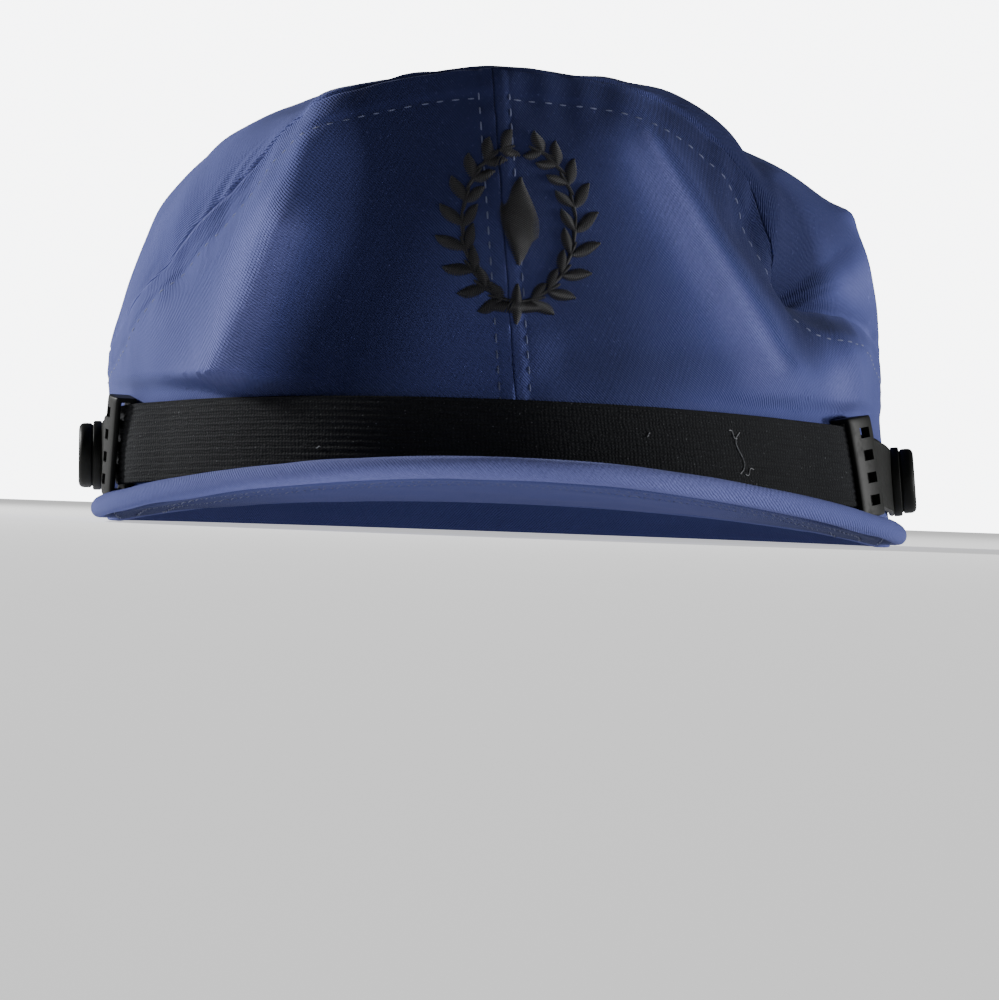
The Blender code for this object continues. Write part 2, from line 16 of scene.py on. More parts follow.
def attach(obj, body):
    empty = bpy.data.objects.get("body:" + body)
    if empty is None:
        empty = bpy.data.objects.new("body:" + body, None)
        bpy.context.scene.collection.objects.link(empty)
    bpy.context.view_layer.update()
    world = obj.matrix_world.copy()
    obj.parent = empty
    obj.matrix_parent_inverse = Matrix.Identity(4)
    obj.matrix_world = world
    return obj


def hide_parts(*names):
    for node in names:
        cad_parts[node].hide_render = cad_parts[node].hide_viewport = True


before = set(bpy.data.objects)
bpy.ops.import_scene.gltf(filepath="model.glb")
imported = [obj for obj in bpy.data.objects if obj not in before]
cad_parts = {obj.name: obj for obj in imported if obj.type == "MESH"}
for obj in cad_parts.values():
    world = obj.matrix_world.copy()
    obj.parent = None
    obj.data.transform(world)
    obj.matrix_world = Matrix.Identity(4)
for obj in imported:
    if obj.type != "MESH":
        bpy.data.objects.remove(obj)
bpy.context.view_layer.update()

print("nodes:", sorted(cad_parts))

# %% [markdown]
# ## Camera
# The photo was taken from straight in front, with a long lens and a camera that was turned a
# little about its own axis, which makes the cap look tilted. A real camera could stand only just
# above the floor that the cap rests on, so this one is a few millimetres up and a metre away.

# %% Camera
CAMERA_DISTANCE = 1.0
CAMERA_HEIGHT = 0.0045
CAMERA_LENS_MM = 164.5
CAMERA_ROLL = 2.0
IMAGE_HEIGHT = 1000
HORIZON_BELOW_CENTRE = 13  # pixels
SENSOR_MM = 36.0
FOCAL_PIXELS = CAMERA_LENS_MM / SENSOR_MM * IMAGE_HEIGHT


def linked(name, data):
    """A new object with this data, linked into the scene."""
    made = bpy.data.objects.new(name, data)
    bpy.context.scene.collection.objects.link(made)
    return made


camera_data = bpy.data.cameras.new("camera")
camera_data.sensor_width = SENSOR_MM
camera_data.lens = CAMERA_LENS_MM
camera_data.clip_start = 0.005
camera = linked("camera", camera_data)
pitch = math.atan(HORIZON_BELOW_CENTRE / FOCAL_PIXELS)
camera.matrix_world = (
    Matrix.Translation((0.0, -CAMERA_DISTANCE, CAMERA_HEIGHT))
    @ Matrix.Rotation(0.5 * math.pi + pitch, 4, "X")
    @ Matrix.Rotation(math.radians(CAMERA_ROLL), 4, "Z")
)
bpy.context.scene.camera = camera
print("camera pitch in degrees:", round(math.degrees(pitch), 3))

# %% [markdown]
# ## Node arithmetic
# A weave is a formula. Written as node calls it is hard to read, so one small class wraps a
# socket and lets Python's operators add the Math nodes.

# %% A socket that does arithmetic
def plug(tree, value, socket):
    """Link a Wire to a socket, or set the socket to a number or colour."""
    if isinstance(value, Wire):
        tree.links.new(value.socket, socket)
    else:
        socket.default_value = value


class Wire:
    """One value in a node tree. Arithmetic on it adds Math nodes."""

    def __init__(self, tree, socket):
        self.tree = tree
        self.socket = socket

    def math(self, operation, *values):
        """One Math node with these values."""
        node = self.tree.nodes.new("ShaderNodeMath")
        node.operation = operation
        for place, value in enumerate(values):
            plug(self.tree, value, node.inputs[place])
        return Wire(self.tree, node.outputs[0])

    def wave(self, pitch):
        """A sine between 0 and 1 that repeats every pitch metres."""
        turned = self * (2.0 * math.pi / pitch)
        return 0.5 + 0.5 * turned.math("SINE", turned)

    def clamp(self):
        """The value kept between 0 and 1."""
        return self.math("MAXIMUM", self.math("MINIMUM", self, 1.0), 0.0)


def operators(kind):
    """The methods for this Math node with the wire on its left and on its right."""
    return (lambda wire, other: wire.math(kind, wire, other),
            lambda wire, other: wire.math(kind, other, wire))


for method, kind in (("add", "ADD"), ("sub", "SUBTRACT"), ("mul", "MULTIPLY")):
    left, right = operators(kind)
    setattr(Wire, "__%s__" % method, left)
    setattr(Wire, "__r%s__" % method, right)


# %% [markdown]
# A finish is a material with one Principled shader. The class below adds any other node from its
# type, its settings and its inputs, and ends with the sockets that change over the surface. What
# is the same all over, such as sheen, is set on the shader's own sockets.

# %% A finish
class Finish:
    """A new material and short ways to add nodes to it."""

    def __init__(self, name, **constants):
        self.material = bpy.data.materials.new(name)
        self.material.use_nodes = True
        self.tree = self.material.node_tree
        self.shader = self.tree.nodes["Principled BSDF"]
        for socket, value in constants.items():
            self.shader.inputs[socket.replace("_", " ")].default_value = value

    def node(self, kind, settings=None, inputs=None, output=0):
        """A node of any type. Settings come first, then values or links of its sockets."""
        made = self.tree.nodes.new(kind)
        for key, value in (settings or {}).items():
            setattr(made, key, value)
        for key, value in (inputs or {}).items():
            plug(self.tree, value, made.inputs[key])
        return Wire(self.tree, made.outputs[output])

    def cloth_place(self):
        """The place on the cloth, and metres along and up it, from the piece's own UV map."""
        place = self.node("ShaderNodeUVMap", {"uv_map": "cloth"})
        along = self.node("ShaderNodeSeparateXYZ", inputs={"Vector": place})
        return place, along, Wire(self.tree, along.socket.node.outputs[1])

    def noise(self, vector, pitch, detail=2.0, roughness=0.5):
        """Noise between 0 and 1 whose lumps are about this far apart, in metres."""
        inputs = {"Vector": vector, "Scale": 1.0 / pitch, "Detail": detail, "Roughness": roughness}
        return self.node("ShaderNodeTexNoise", inputs=inputs)

    def mix(self, factor, first, second):
        """A colour between two colours."""
        made = self.tree.nodes.new("ShaderNodeMix")
        made.data_type = "RGBA"
        plug(self.tree, factor, made.inputs[0])
        plug(self.tree, first, made.inputs[6])
        plug(self.tree, second, made.inputs[7])
        return Wire(self.tree, made.outputs[2])

    def bump(self, height, distance, strength=1.0, below=None):
        """A normal from a height between 0 and 1 that stands for this many metres."""
        inputs = {"Height": height, "Distance": distance, "Strength": strength}
        if below is not None:
            inputs["Normal"] = below
        return self.node("ShaderNodeBump", inputs=inputs)

    def wear(self, **links):
        """Link the values that change over the surface to the shader."""
        for socket, value in links.items():
            plug(self.tree, value, self.shader.inputs[socket.replace("_", " ")])
        return self.material


# %% [markdown]
# ## Blue twill
# The cloth is a cotton twill: its surface is a fine diagonal rib, half a millimetre from rib to
# rib, and each rib is broken into short floats of yarn. The pattern follows the cloth, so it reads
# a UV map that holds metres along and up each cut piece. Worn cotton also has a pale fuzz and a
# slightly uneven dye, which two noises give.

# %% Blue twill
TWILL_PITCH = 0.00070
FLOAT_PITCH = 0.00120
BLUE_DEEP = (0.050, 0.060, 0.190, 1.0)
BLUE_BASE = (0.078, 0.092, 0.265, 1.0)
BLUE_PALE = (0.158, 0.174, 0.400, 1.0)
# Pale worn cloth; the same colour also serves as painted highlight.
BLUE_WORN_AND_HIGHLIGHT = (0.145, 0.160, 0.400, 1.0)
# Near black blue of painted shade.
BLUE_PAINTED_SHADE = (0.016, 0.020, 0.072, 1.0)


def twill_finish(name):
    """Diagonal ribs from a sine of (along + up), broken by a slower sine along each rib.

    The attribute "wear" is 0 on plain cloth. Above 0 the cloth is paled: seam edges worn pale,
    fold crests and the peak's roll worn pale and partly painted highlight, and painted highlight
    strokes. Below 0 it is painted shade: dark strokes and the peak's ends.
    """
    finish = Finish(name, Sheen_Weight=0.06, Sheen_Roughness=0.5,
                    Sheen_Tint=(0.60, 0.70, 1.0, 1.0), Specular_IOR_Level=0.10)
    place, along, up = finish.cloth_place()
    wear = finish.node("ShaderNodeAttribute", {"attribute_name": "wear"}, output=2)
    jitter = finish.noise(place, 0.0030, 2.0, 0.5) * 0.0006
    ribs = (along + up + jitter).wave(TWILL_PITCH)
    floats = (along - 0.6 * up + jitter).wave(FLOAT_PITCH)
    weave = ribs * (0.55 + 0.45 * floats)
    fuzz = finish.noise(place, 0.0009, 3.0, 0.7)
    dye = finish.noise(place, 0.030, 3.0, 0.6)
    shade = finish.mix((0.55 * weave + 0.8 * dye - 0.25).clamp(), BLUE_DEEP, BLUE_BASE)
    # Painted shade: where the wear attribute is below 0 the colour is darkened towards a near black
    # blue.
    with_painted_shade = finish.mix((wear * -0.95).clamp(), shade, BLUE_PAINTED_SHADE)
    # Above 0 the colour is paled: real wear on seam edges, wear and painted highlight on crests and
    # the peak's roll, and painted highlight strokes.
    worn_and_highlighted = finish.mix((wear * (0.35 + 0.9 * fuzz)).clamp(), with_painted_shade, BLUE_WORN_AND_HIGHLIGHT)
    colour = finish.mix(((fuzz - 0.60) * 1.6).clamp(), worn_and_highlighted, BLUE_PALE)
    lumps = finish.bump(fuzz, 0.00009, 0.9)
    normal = finish.bump(weave, 0.00022, 0.9, below=lumps)
    return finish.wear(Base_Color=colour, Roughness=0.80 + 0.15 * fuzz, Normal=normal)


blue_twill = twill_finish("blue_twill_cloth")
print("twill ribs every", TWILL_PITCH * 1000, "mm")

# %% [markdown]
# ## Webbing, plastic and thread
# The strap is a matt black knitted webbing. Uneven ribs run along it, and it has small loops, worn
# patches and specks of lint.

# %% Black webbing
WEBBING_DARK = (0.0125, 0.0130, 0.0145, 1.0)
WEBBING_GREY = (0.030, 0.033, 0.035, 1.0)
WEBBING_LINT = (0.150, 0.155, 0.165, 1.0)


def webbing_finish():
    """Uneven ribs along the band, from noise that is stretched along it, and small loops."""
    finish = Finish("black_knit_webbing", Sheen_Weight=0.02, Sheen_Roughness=0.5,
                    Specular_IOR_Level=0.05)
    place, along, up = finish.cloth_place()
    wander = finish.noise(place, 0.0026, 3.0, 0.6) * 0.0016
    loops = (along + wander).wave(0.00080) * (up + 0.6 * wander).wave(0.00066)
    drawn = finish.node("ShaderNodeMapping", inputs={"Vector": place, "Scale": (0.16, 1.0, 1.0)})
    rows = finish.noise(drawn, 0.00075, 3.0, 0.65)
    lint = finish.noise(place, 0.00070, 4.0, 0.75)
    worn = finish.noise(place, 0.012, 2.0, 0.6)
    pale = ((lint - 0.57) * 3.0).clamp() * (0.25 + 0.75 * worn)
    knit = finish.mix((0.50 * pale + 0.20 * loops + 0.5 * rows - 0.2).clamp(), WEBBING_DARK,
                      WEBBING_GREY)
    specks = ((finish.noise(place, 0.00055, 2.0, 0.5) - 0.66) * 9.0).clamp() * worn
    colour = finish.mix(specks, knit, WEBBING_LINT)
    normal = finish.bump(loops * 0.4 + rows, 0.00040, 0.9, below=finish.bump(lint, 0.00025, 0.8))
    return finish.wear(Base_Color=colour, Roughness=0.78 + 0.18 * lint, Normal=normal)


black_webbing = webbing_finish()

# %% [markdown]
# The slides, tabs and buttons are black plastic with a fine moulded grain and light scuffs.

# %% Black plastic
PLASTIC_DARK = (0.0060, 0.0065, 0.0058, 1.0)
PLASTIC_SCUFF = (0.017, 0.018, 0.016, 1.0)


def plastic_finish():
    """A fine moulded grain in the bump, and scuffs that are paler and rougher."""
    finish = Finish("black_moulded_plastic", Specular_IOR_Level=0.12)
    place = finish.node("ShaderNodeTexCoord", output=3)
    grain = finish.noise(place, 0.0005, 2.0, 0.6)
    scuffs = ((finish.noise(place, 0.0035, 5.0, 0.7) - 0.52) * 4.0).clamp()
    colour = finish.mix(0.55 * scuffs, PLASTIC_DARK, PLASTIC_SCUFF)
    normal = finish.bump(grain, 0.00004, 0.6, below=finish.bump(scuffs, 0.00003, 0.4))
    return finish.wear(Base_Color=colour, Roughness=0.50 + 0.22 * scuffs, Normal=normal)


black_plastic = plastic_finish()

# %% [markdown]
# Sewing thread is a little paler than the cloth, embroidery thread is black rayon, and the lint on
# the strap is a pale fibre. All three are twisted.

# %% Threads
def thread_finish(name, dark, pale, roughness, sheen):
    """Twisted thread: slanting plies from a sine of (along + round)."""
    finish = Finish(name, Sheen_Weight=sheen, Specular_IOR_Level=0.4)
    place, along, up = finish.cloth_place()
    plies = (along + 0.8 * up).wave(0.00034)
    stray = finish.noise(place, 0.0015, 2.0, 0.6)
    colour = finish.mix((0.7 * plies + 0.5 * stray - 0.1).clamp(), dark, pale)
    return finish.wear(Base_Color=colour, Roughness=roughness + 0.1 * stray,
                       Normal=finish.bump(plies, 0.00008, 0.8))


blue_thread = thread_finish("blue_sewing_thread", (0.050, 0.062, 0.140, 1.0),
                            (0.150, 0.170, 0.290, 1.0), 0.70, 0.1)
embroidery_thread = thread_finish("black_embroidery_thread", (0.0035, 0.0035, 0.0050, 1.0),
                                  (0.014, 0.014, 0.017, 1.0), 0.42, 0.1)
lint_fibre = thread_finish("pale_lint", (0.13, 0.135, 0.15, 1.0),
                           (0.26, 0.265, 0.28, 1.0), 0.8, 0.3)

# %% [markdown]
# ## The shape of the crown
# The solids were worked out from a few named sizes, a table of sections and a table of folds. This
# script can't read that source, so the sizes and the sections stand here again. The folds are drawn
# anew, closer to the photo than the solids have them, and a third table gives pale and dark strokes
# of painted light and shade on the cloth. Angles run round the rim in degrees from the front
# centre, positive towards +X.

# %% Sizes of the crown
HALF_WIDTH = 0.0848
HALF_LENGTH = 0.1060
CROWN_HEIGHT = 0.0950
TOP_HEIGHT = 0.0900
TOP_BACK = 0.0060
RIM_LIFT = 0.0065
PEAK_ROOT_ANGLE = 76.0
CLOTH = 0.0016
SEAM_GAP = 0.0003  # between the solids
SEWN_GAP = -0.00012  # the finished pieces' edges turn in and overlap by this much
SEAM_FLAT = 0.0008
SEAM_OFFSET = 0.0048
FIRST_RUN = 0.02
CROWN_SHIFT = 0.0088
FOLD_DEPTH = 0.0040
FOLD_FADE = 0.035  # share of the crown's height over which the folds grow, above the strap
FOLD_TILT = 0.25  # radians that a fold points up from level, at the crown's full height
HEM = 0.0030
LEAN_POWER = 1.5
STRAP_TOP = 0.02685

SECTIONS = np.array((
    # angle, seam height, lean, rise height, rise reach, dome height, dome reach
    (-180, 0.41, 0.15, 0.62, 0.97, 0.90, 0.74),
    (-135, 0.40, 0.15, 0.63, 0.95, 0.95, 0.80),
    (-105, 0.38, 0.15, 0.62, 0.89, 1.01, 0.83),
    (-85, 0.38, 0.15, 0.62, 0.875, 1.02, 0.825),
    (-67, 0.44, 0.17, 0.68, 0.88, 1.02, 0.775),
    (-57, 0.56, 0.185, 0.76, 0.875, 1.01, 0.72),
    (-49, 0.66, 0.20, 0.82, 0.86, 1.01, 0.66),
    (-41, 0.75, 0.21, 0.87, 0.82, 0.98, 0.58),
    (-31, 0.86, 0.22, 0.91, 0.77, 0.95, 0.50),
    (-23, 0.91, 0.22, 0.94, 0.72, 0.95, 0.45),
    (-10, 0.965, 0.22, 0.98, 0.68, 0.97, 0.40),
    (3, 0.985, 0.22, 1.00, 0.66, 0.97, 0.38),
    (22, 0.97, 0.22, 1.00, 0.68, 0.99, 0.44),
    (31, 0.93, 0.22, 0.98, 0.76, 1.00, 0.58),
    (40, 0.86, 0.20, 0.94, 0.84, 1.00, 0.72),
    (46, 0.77, 0.17, 0.89, 0.88, 0.99, 0.84),
    (50, 0.60, 0.14, 0.80, 0.92, 0.98, 0.92),
    (54, 0.52, 0.12, 0.74, 0.95, 0.97, 0.97),
    (64, 0.50, 0.07, 0.69, 0.99, 0.95, 1.03),
    (78, 0.44, 0.03, 0.66, 1.01, 0.92, 1.06),
    (92, 0.36, 0.03, 0.64, 1.01, 0.92, 1.04),
    (112, 0.36, 0.08, 0.63, 1.00, 0.93, 0.92),
    (140, 0.39, 0.13, 0.62, 0.98, 0.91, 0.80),
))

# Folds as seen from the front, in shares of the half width and of the crown's height.
FOLDS = (
    # -1 front or 1 back, from across, from height, to across, to height, width, depth, form
    (-1, -0.44, 0.86, -0.475, 0.62, 0.095, 0.85, 1.5),
    (-1, -0.475, 0.62, -0.680, 0.24, 0.095, 0.75, 1.5),
    (-1, -0.455, 0.80, -0.650, 0.28, 0.200, 1.15, 1.4),
    (-1, -0.50, 0.87, -0.80, 0.56, 0.070, -0.95, 1.8),
    (-1, -0.80, 0.62, -0.86, 0.42, 0.110, 0.45, 2.0),
    (-1, -0.30, 0.84, -0.40, 0.34, 0.140, -0.25, 2.0),
    (-1, 0.330, 0.84, 0.655, 0.38, 0.125, 1.50, 1.0),
    (-1, 0.58, 0.68, 0.74, 0.50, 0.080, -1.00, 1.7),
    (-1, 0.68, 0.55, 0.84, 0.68, 0.050, -0.80, 1.6),
    (-1, 0.63, 0.78, 0.64, 0.52, 0.045, 0.50, 1.6),
    (-1, 0.72, 0.66, 0.71, 0.56, 0.060, -0.75, 2.0),
    (-1, 0.87, 0.73, 0.96, 0.69, 0.055, 1.25, 1.6),
    (-1, 0.62, 0.41, 0.15, 0.39, 0.060, -0.30, 1.6),
    (-1, 0.72, 0.47, 0.85, 0.42, 0.050, 0.50, 1.4),
    (-1, 0.80, 0.45, 0.84, 0.33, 0.050, 0.60, 1.5),
    (-1, 0.17, 0.76, 0.38, 0.42, 0.140, -0.40, 2.0),
    (1, -0.20, 0.70, -0.62, 0.52, 0.130, -0.60, 2.0),
    (1, 0.16, 0.62, 0.66, 0.60, 0.110, -0.70, 2.0),
    (1, -0.50, 0.46, 0.45, 0.48, 0.100, 0.45, 2.0),
)

# Painted highlight (amount above 0) and painted shade (amount below 0) as strokes on the cloth, as
# seen from the front.
PAINTED_LIGHT_STROKES = (
    # from across, from height, to across, to height, width, amount, form
    (-0.52, 0.62, -0.64, 0.34, 0.070, 0.90, 2.0),
    (-0.24, 0.84, -0.42, 0.34, 0.220, -1.10, 2.4),
    (-0.30, 0.95, 0.22, 0.95, 0.140, -0.90, 2.0),
    (0.03, 0.84, 0.24, 0.40, 0.190, -0.90, 2.0),
    (0.28, 0.82, 0.60, 0.38, 0.060, 0.50, 2.0),
    (0.320, 0.86, 0.655, 0.38, 0.016, 0.70, 2.0),
    (0.435, 0.88, 0.755, 0.47, 0.110, -1.10, 4.0),
    (0.62, 0.76, 0.80, 0.70, 0.110, -0.80, 2.0),
    (0.80, 0.54, 0.92, 0.62, 0.055, 0.60, 2.0),
    (0.80, 0.40, 0.82, 0.34, 0.050, 0.40, 2.0),
)
print(len(SECTIONS), "sections and", len(FOLDS), "folds")

# %% [markdown]
# A wall and the top panel are functions of two parameters. The sections give their plain form, and
# every fold pushes it out or in near the line that the table draws.

# %% Wall and top panel as functions
def smooth_step(value, low, high):
    """0 up to low, 1 from high on, and a smooth rise between."""
    share = np.clip((value - low) / (high - low), 0.0, 1.0)
    return share * share * (3.0 - 2.0 * share)


def section_values(angle):
    """The columns of SECTIONS at each angle: cubic curves that never overshoot a row."""
    knots = np.append(SECTIONS[:, 0], SECTIONS[0, 0] + 360.0)
    values = np.vstack([SECTIONS[:, 1:], SECTIONS[0, 1:]])
    steps = np.diff(knots)[:, None]
    slopes = np.diff(values, axis=0) / steps
    before = np.vstack([slopes[-1:], slopes])
    after = np.vstack([slopes, slopes[:1]])
    product = before * after
    total = before + after
    safe_total = np.where(np.abs(total) > 1e-12, total, 1.0)
    tangents = np.where(product > 0, 2.0 * product / safe_total, 0.0)
    wrapped = (np.asarray(angle, dtype=float) - knots[0]) % 360.0 + knots[0]
    place = np.clip(np.searchsorted(knots, wrapped, side="right") - 1, 0, len(steps) - 1)
    step = steps[place, 0]
    part = ((wrapped - knots[place]) / step)[..., None]
    step = step[..., None]
    start = values[place] * (1.0 + 2.0 * part) * (1.0 - part) ** 2
    start_slope = tangents[place] * step * part * (1.0 - part) ** 2
    end = values[place + 1] * part ** 2 * (3.0 - 2.0 * part)
    end_slope = tangents[place + 1] * step * part ** 2 * (part - 1.0)
    return np.moveaxis(start + start_slope + end + end_slope, -1, 0)


def rim_height(angle):
    """Height of the rim's lower edge: the arched peak lifts it at the front."""
    share = np.clip(1.0 - (np.asarray(angle) / PEAK_ROOT_ANGLE) ** 2, 0.0, 1.0)
    return RIM_LIFT * share ** 1.5


def outline_normal(angle):
    """Level direction out of the oval rim."""
    turn = np.radians(angle)
    across = np.sin(turn) / HALF_WIDTH
    along = -np.cos(turn) / HALF_LENGTH
    size = np.hypot(across, along)
    return across / size, along / size


def stroke(x, z, across_0, height_0, across_1, height_1, width, form):
    """exp(-(distance / width) ^ form) from a line that is drawn on the front view."""
    run_x = (across_1 - across_0) * HALF_WIDTH
    run_z = (height_1 - height_0) * CROWN_HEIGHT
    from_x = x - across_0 * HALF_WIDTH
    from_z = z - height_0 * CROWN_HEIGHT
    share = np.clip((from_x * run_x + from_z * run_z) / (run_x ** 2 + run_z ** 2), 0.0, 1.0)
    away = np.hypot(from_x - share * run_x, from_z - share * run_z)
    return np.exp(-(away / (width * HALF_WIDTH)) ** form)


def front_share(y):
    """1 on the front of the crown, 0 on its back, and a smooth change between."""
    return 1.0 - smooth_step(y, -0.25 * HALF_LENGTH, 0.10 * HALF_LENGTH)


def fold_push(x, y, z):
    """Sum of the folds in metres. The strap holds the cloth below it flat."""
    front = front_share(y)
    start = STRAP_TOP + SEAM_GAP
    push = 0.0
    for face, *line, depth, form in FOLDS:
        weight = front if face < 0 else 1.0 - front
        push = push + weight * depth * FOLD_DEPTH * stroke(x, z, *line, form)
    return push * smooth_step(z, start, start + FOLD_FADE * CROWN_HEIGHT)


# Fold crests are paled, partly as wear and partly as painted highlight. Seam edges are worn pale.
CREST_WEAR_AND_HIGHLIGHT = 0.4
CREST_RANGE = (0.35, 1.2)  # in units of the fold depth
EDGE_WEAR = 0.4
EDGE_REACH = 0.0012


def cloth_wear_and_painted_light(points, from_seam):
    """Above 0 is pale: worn seam edges, and crests worn pale and partly painted highlight.
    The strokes add painted highlight above 0 and painted shade below 0.
    """
    x, y, z = np.moveaxis(points, -1, 0)
    worn = CREST_WEAR_AND_HIGHLIGHT * smooth_step(fold_push(x, y, z) / FOLD_DEPTH, *CREST_RANGE)
    worn = worn + EDGE_WEAR * np.exp(-(from_seam / EDGE_REACH) ** 2)
    # The strokes are painted highlight and painted shade, on the front only.
    painted_strokes = sum(amount * stroke(x, z, *line, form) for *line, amount, form in PAINTED_LIGHT_STROKES)
    return worn + painted_strokes * front_share(y)


def pushed(x, y, z, angle, tilt):
    """Move points out by their folds, in a direction that tilts up from level by these radians."""
    push = fold_push(x, y, z)
    normal_x, normal_y = outline_normal(angle)
    level = push * np.cos(tilt)
    return np.stack([x + level * normal_x, y + level * normal_y, z + push * np.sin(tilt)], axis=-1)


def wall_point(angle, height):
    """The oval rim, drawn in by lean * share ^ 1.5 and moved aside as it rises."""
    lean = section_values(angle)[1]
    share = np.clip(height - HEM, 0.0, None) / CROWN_HEIGHT
    reach = 1.0 - lean * share ** LEAN_POWER
    turn = np.radians(angle)
    x = HALF_WIDTH * np.sin(turn) * reach - CROWN_SHIFT * share
    y = -HALF_LENGTH * np.cos(turn) * reach
    return pushed(x, y, height, angle, FOLD_TILT * share)


def top_point(angle, run):
    """A cubic Bezier curve in (reach, height) from the seam, run 0, to the middle, run 1."""
    seam_height, lean, rise_height, rise_reach, dome_height, dome_reach = section_values(angle)
    seam_reach = 1.0 - lean * (seam_height - HEM / CROWN_HEIGHT) ** LEAN_POWER
    weights = ((1 - run) ** 3, 3 * run * (1 - run) ** 2, 3 * run ** 2 * (1 - run), run ** 3)
    reach = weights[0] * seam_reach + weights[1] * rise_reach + weights[2] * dome_reach
    share = (weights[0] * seam_height + weights[1] * rise_height + weights[2] * dome_height
             + weights[3] * TOP_HEIGHT / CROWN_HEIGHT)
    turn = np.radians(angle)
    x = HALF_WIDTH * np.sin(turn) * reach - CROWN_SHIFT * (share - HEM / CROWN_HEIGHT)
    y = -HALF_LENGTH * np.cos(turn) * reach + TOP_BACK * run ** 2
    seam_tilt = FOLD_TILT * seam_height
    tilt = seam_tilt + (0.5 * math.pi - seam_tilt) * np.sqrt(run)
    return pushed(x, y, share * CROWN_HEIGHT, angle, tilt)


def first_run(angle):
    """The run that lies one narrow flat band past the seam."""
    seam = wall_point(angle, section_values(angle)[0] * CROWN_HEIGHT)
    return FIRST_RUN * SEAM_FLAT / np.linalg.norm(top_point(angle, FIRST_RUN) - seam, axis=-1)


def seam_line(angle):
    """Edges of the wall and of the top panel at their seam, on that band."""
    wall_side = wall_point(angle, section_values(angle)[0] * CROWN_HEIGHT - SEAM_FLAT)
    band = top_point(angle, first_run(angle)) - wall_side
    half_gap = 0.5 * SEWN_GAP / np.linalg.norm(band, axis=-1, keepdims=True)
    return wall_side + band * (0.5 - half_gap), wall_side + band * (0.5 + half_gap)


front_seam_angle = math.degrees(math.asin(SEAM_OFFSET / HALF_WIDTH))
print("front seam stands at", round(front_seam_angle, 2), "degrees")

# %% [markdown]
# ## Meshes from grids of points
# A surface is a grid of points, worked out for all rows and columns at once. Neighbouring points
# give the quads, and a second grid of metres along and up the cloth becomes the UV map. The cloth
# is a closed shell: an outer grid, an inner grid one cloth thickness behind it, and narrow faces
# that join their edges.

# %% Grids to meshes
def cells(grid):
    """The four corners of every quad between neighbours of a grid."""
    return np.stack([grid[:-1, :-1], grid[:-1, 1:], grid[1:, 1:], grid[1:, :-1]], axis=2)


def strip(first, second):
    """Quads between two lines of numbers of equal length."""
    return np.stack([first[:-1], first[1:], second[1:], second[:-1]], axis=1)


def paired(first, second):
    """Two grids as one grid of pairs. The smaller one is repeated."""
    return np.stack(np.broadcast_arrays(first, second), axis=-1)


def looped(grid):
    """The grid with its first column again behind the last."""
    return np.concatenate([grid, grid[:, :1]], axis=1)


def unit(vectors):
    """The vectors at a length of 1."""
    return vectors / np.maximum(np.linalg.norm(vectors, axis=-1, keepdims=True), 1e-12)


def grid_normals(points, ring=False):
    """Unit cross products of the steps along and up the grid."""
    if ring:
        points = np.concatenate([points[:, -2:-1], points, points[:, 1:2]], axis=1)
    along = np.gradient(points, axis=1)
    up = np.gradient(points, axis=0)
    if ring:
        along, up = along[:, 1:-1], up[:, 1:-1]
    return unit(np.cross(along, up))


def dress(name, mesh, look, nodes, sharp):
    """Give a mesh its finish, and its object the body; hide the solids that it stands for."""
    mesh.materials.append(look)
    mesh.shade_smooth()
    mesh.set_sharp_from_angle(angle=math.radians(sharp))
    made = linked(name, mesh)
    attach(made, "root")
    if nodes:
        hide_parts(*nodes)
    print(name, "has", len(mesh.polygons), "faces")


def finish_piece(name, points, faces, corners, look, nodes=(), sharp=50.0, wear=None):
    """A dressed mesh with its UV map, in metres on the cloth, and its wear, which on the twill also
    holds painted highlight and painted shade.
    """
    mesh = bpy.data.meshes.new(name)
    mesh.from_pydata(points.tolist(), [], [face for part in faces for face in part.tolist()])
    layer = mesh.uv_layers.new(name="cloth")
    layer.data.foreach_set("uv", np.concatenate([part.reshape(-1, 2) for part in corners]).ravel())
    if wear is not None:
        # The "wear" attribute carries real wear and also painted highlight and painted shade.
        mesh.attributes.new("wear", "FLOAT", "POINT").data.foreach_set("value", wear)
    dress(name, mesh, look, nodes, sharp)


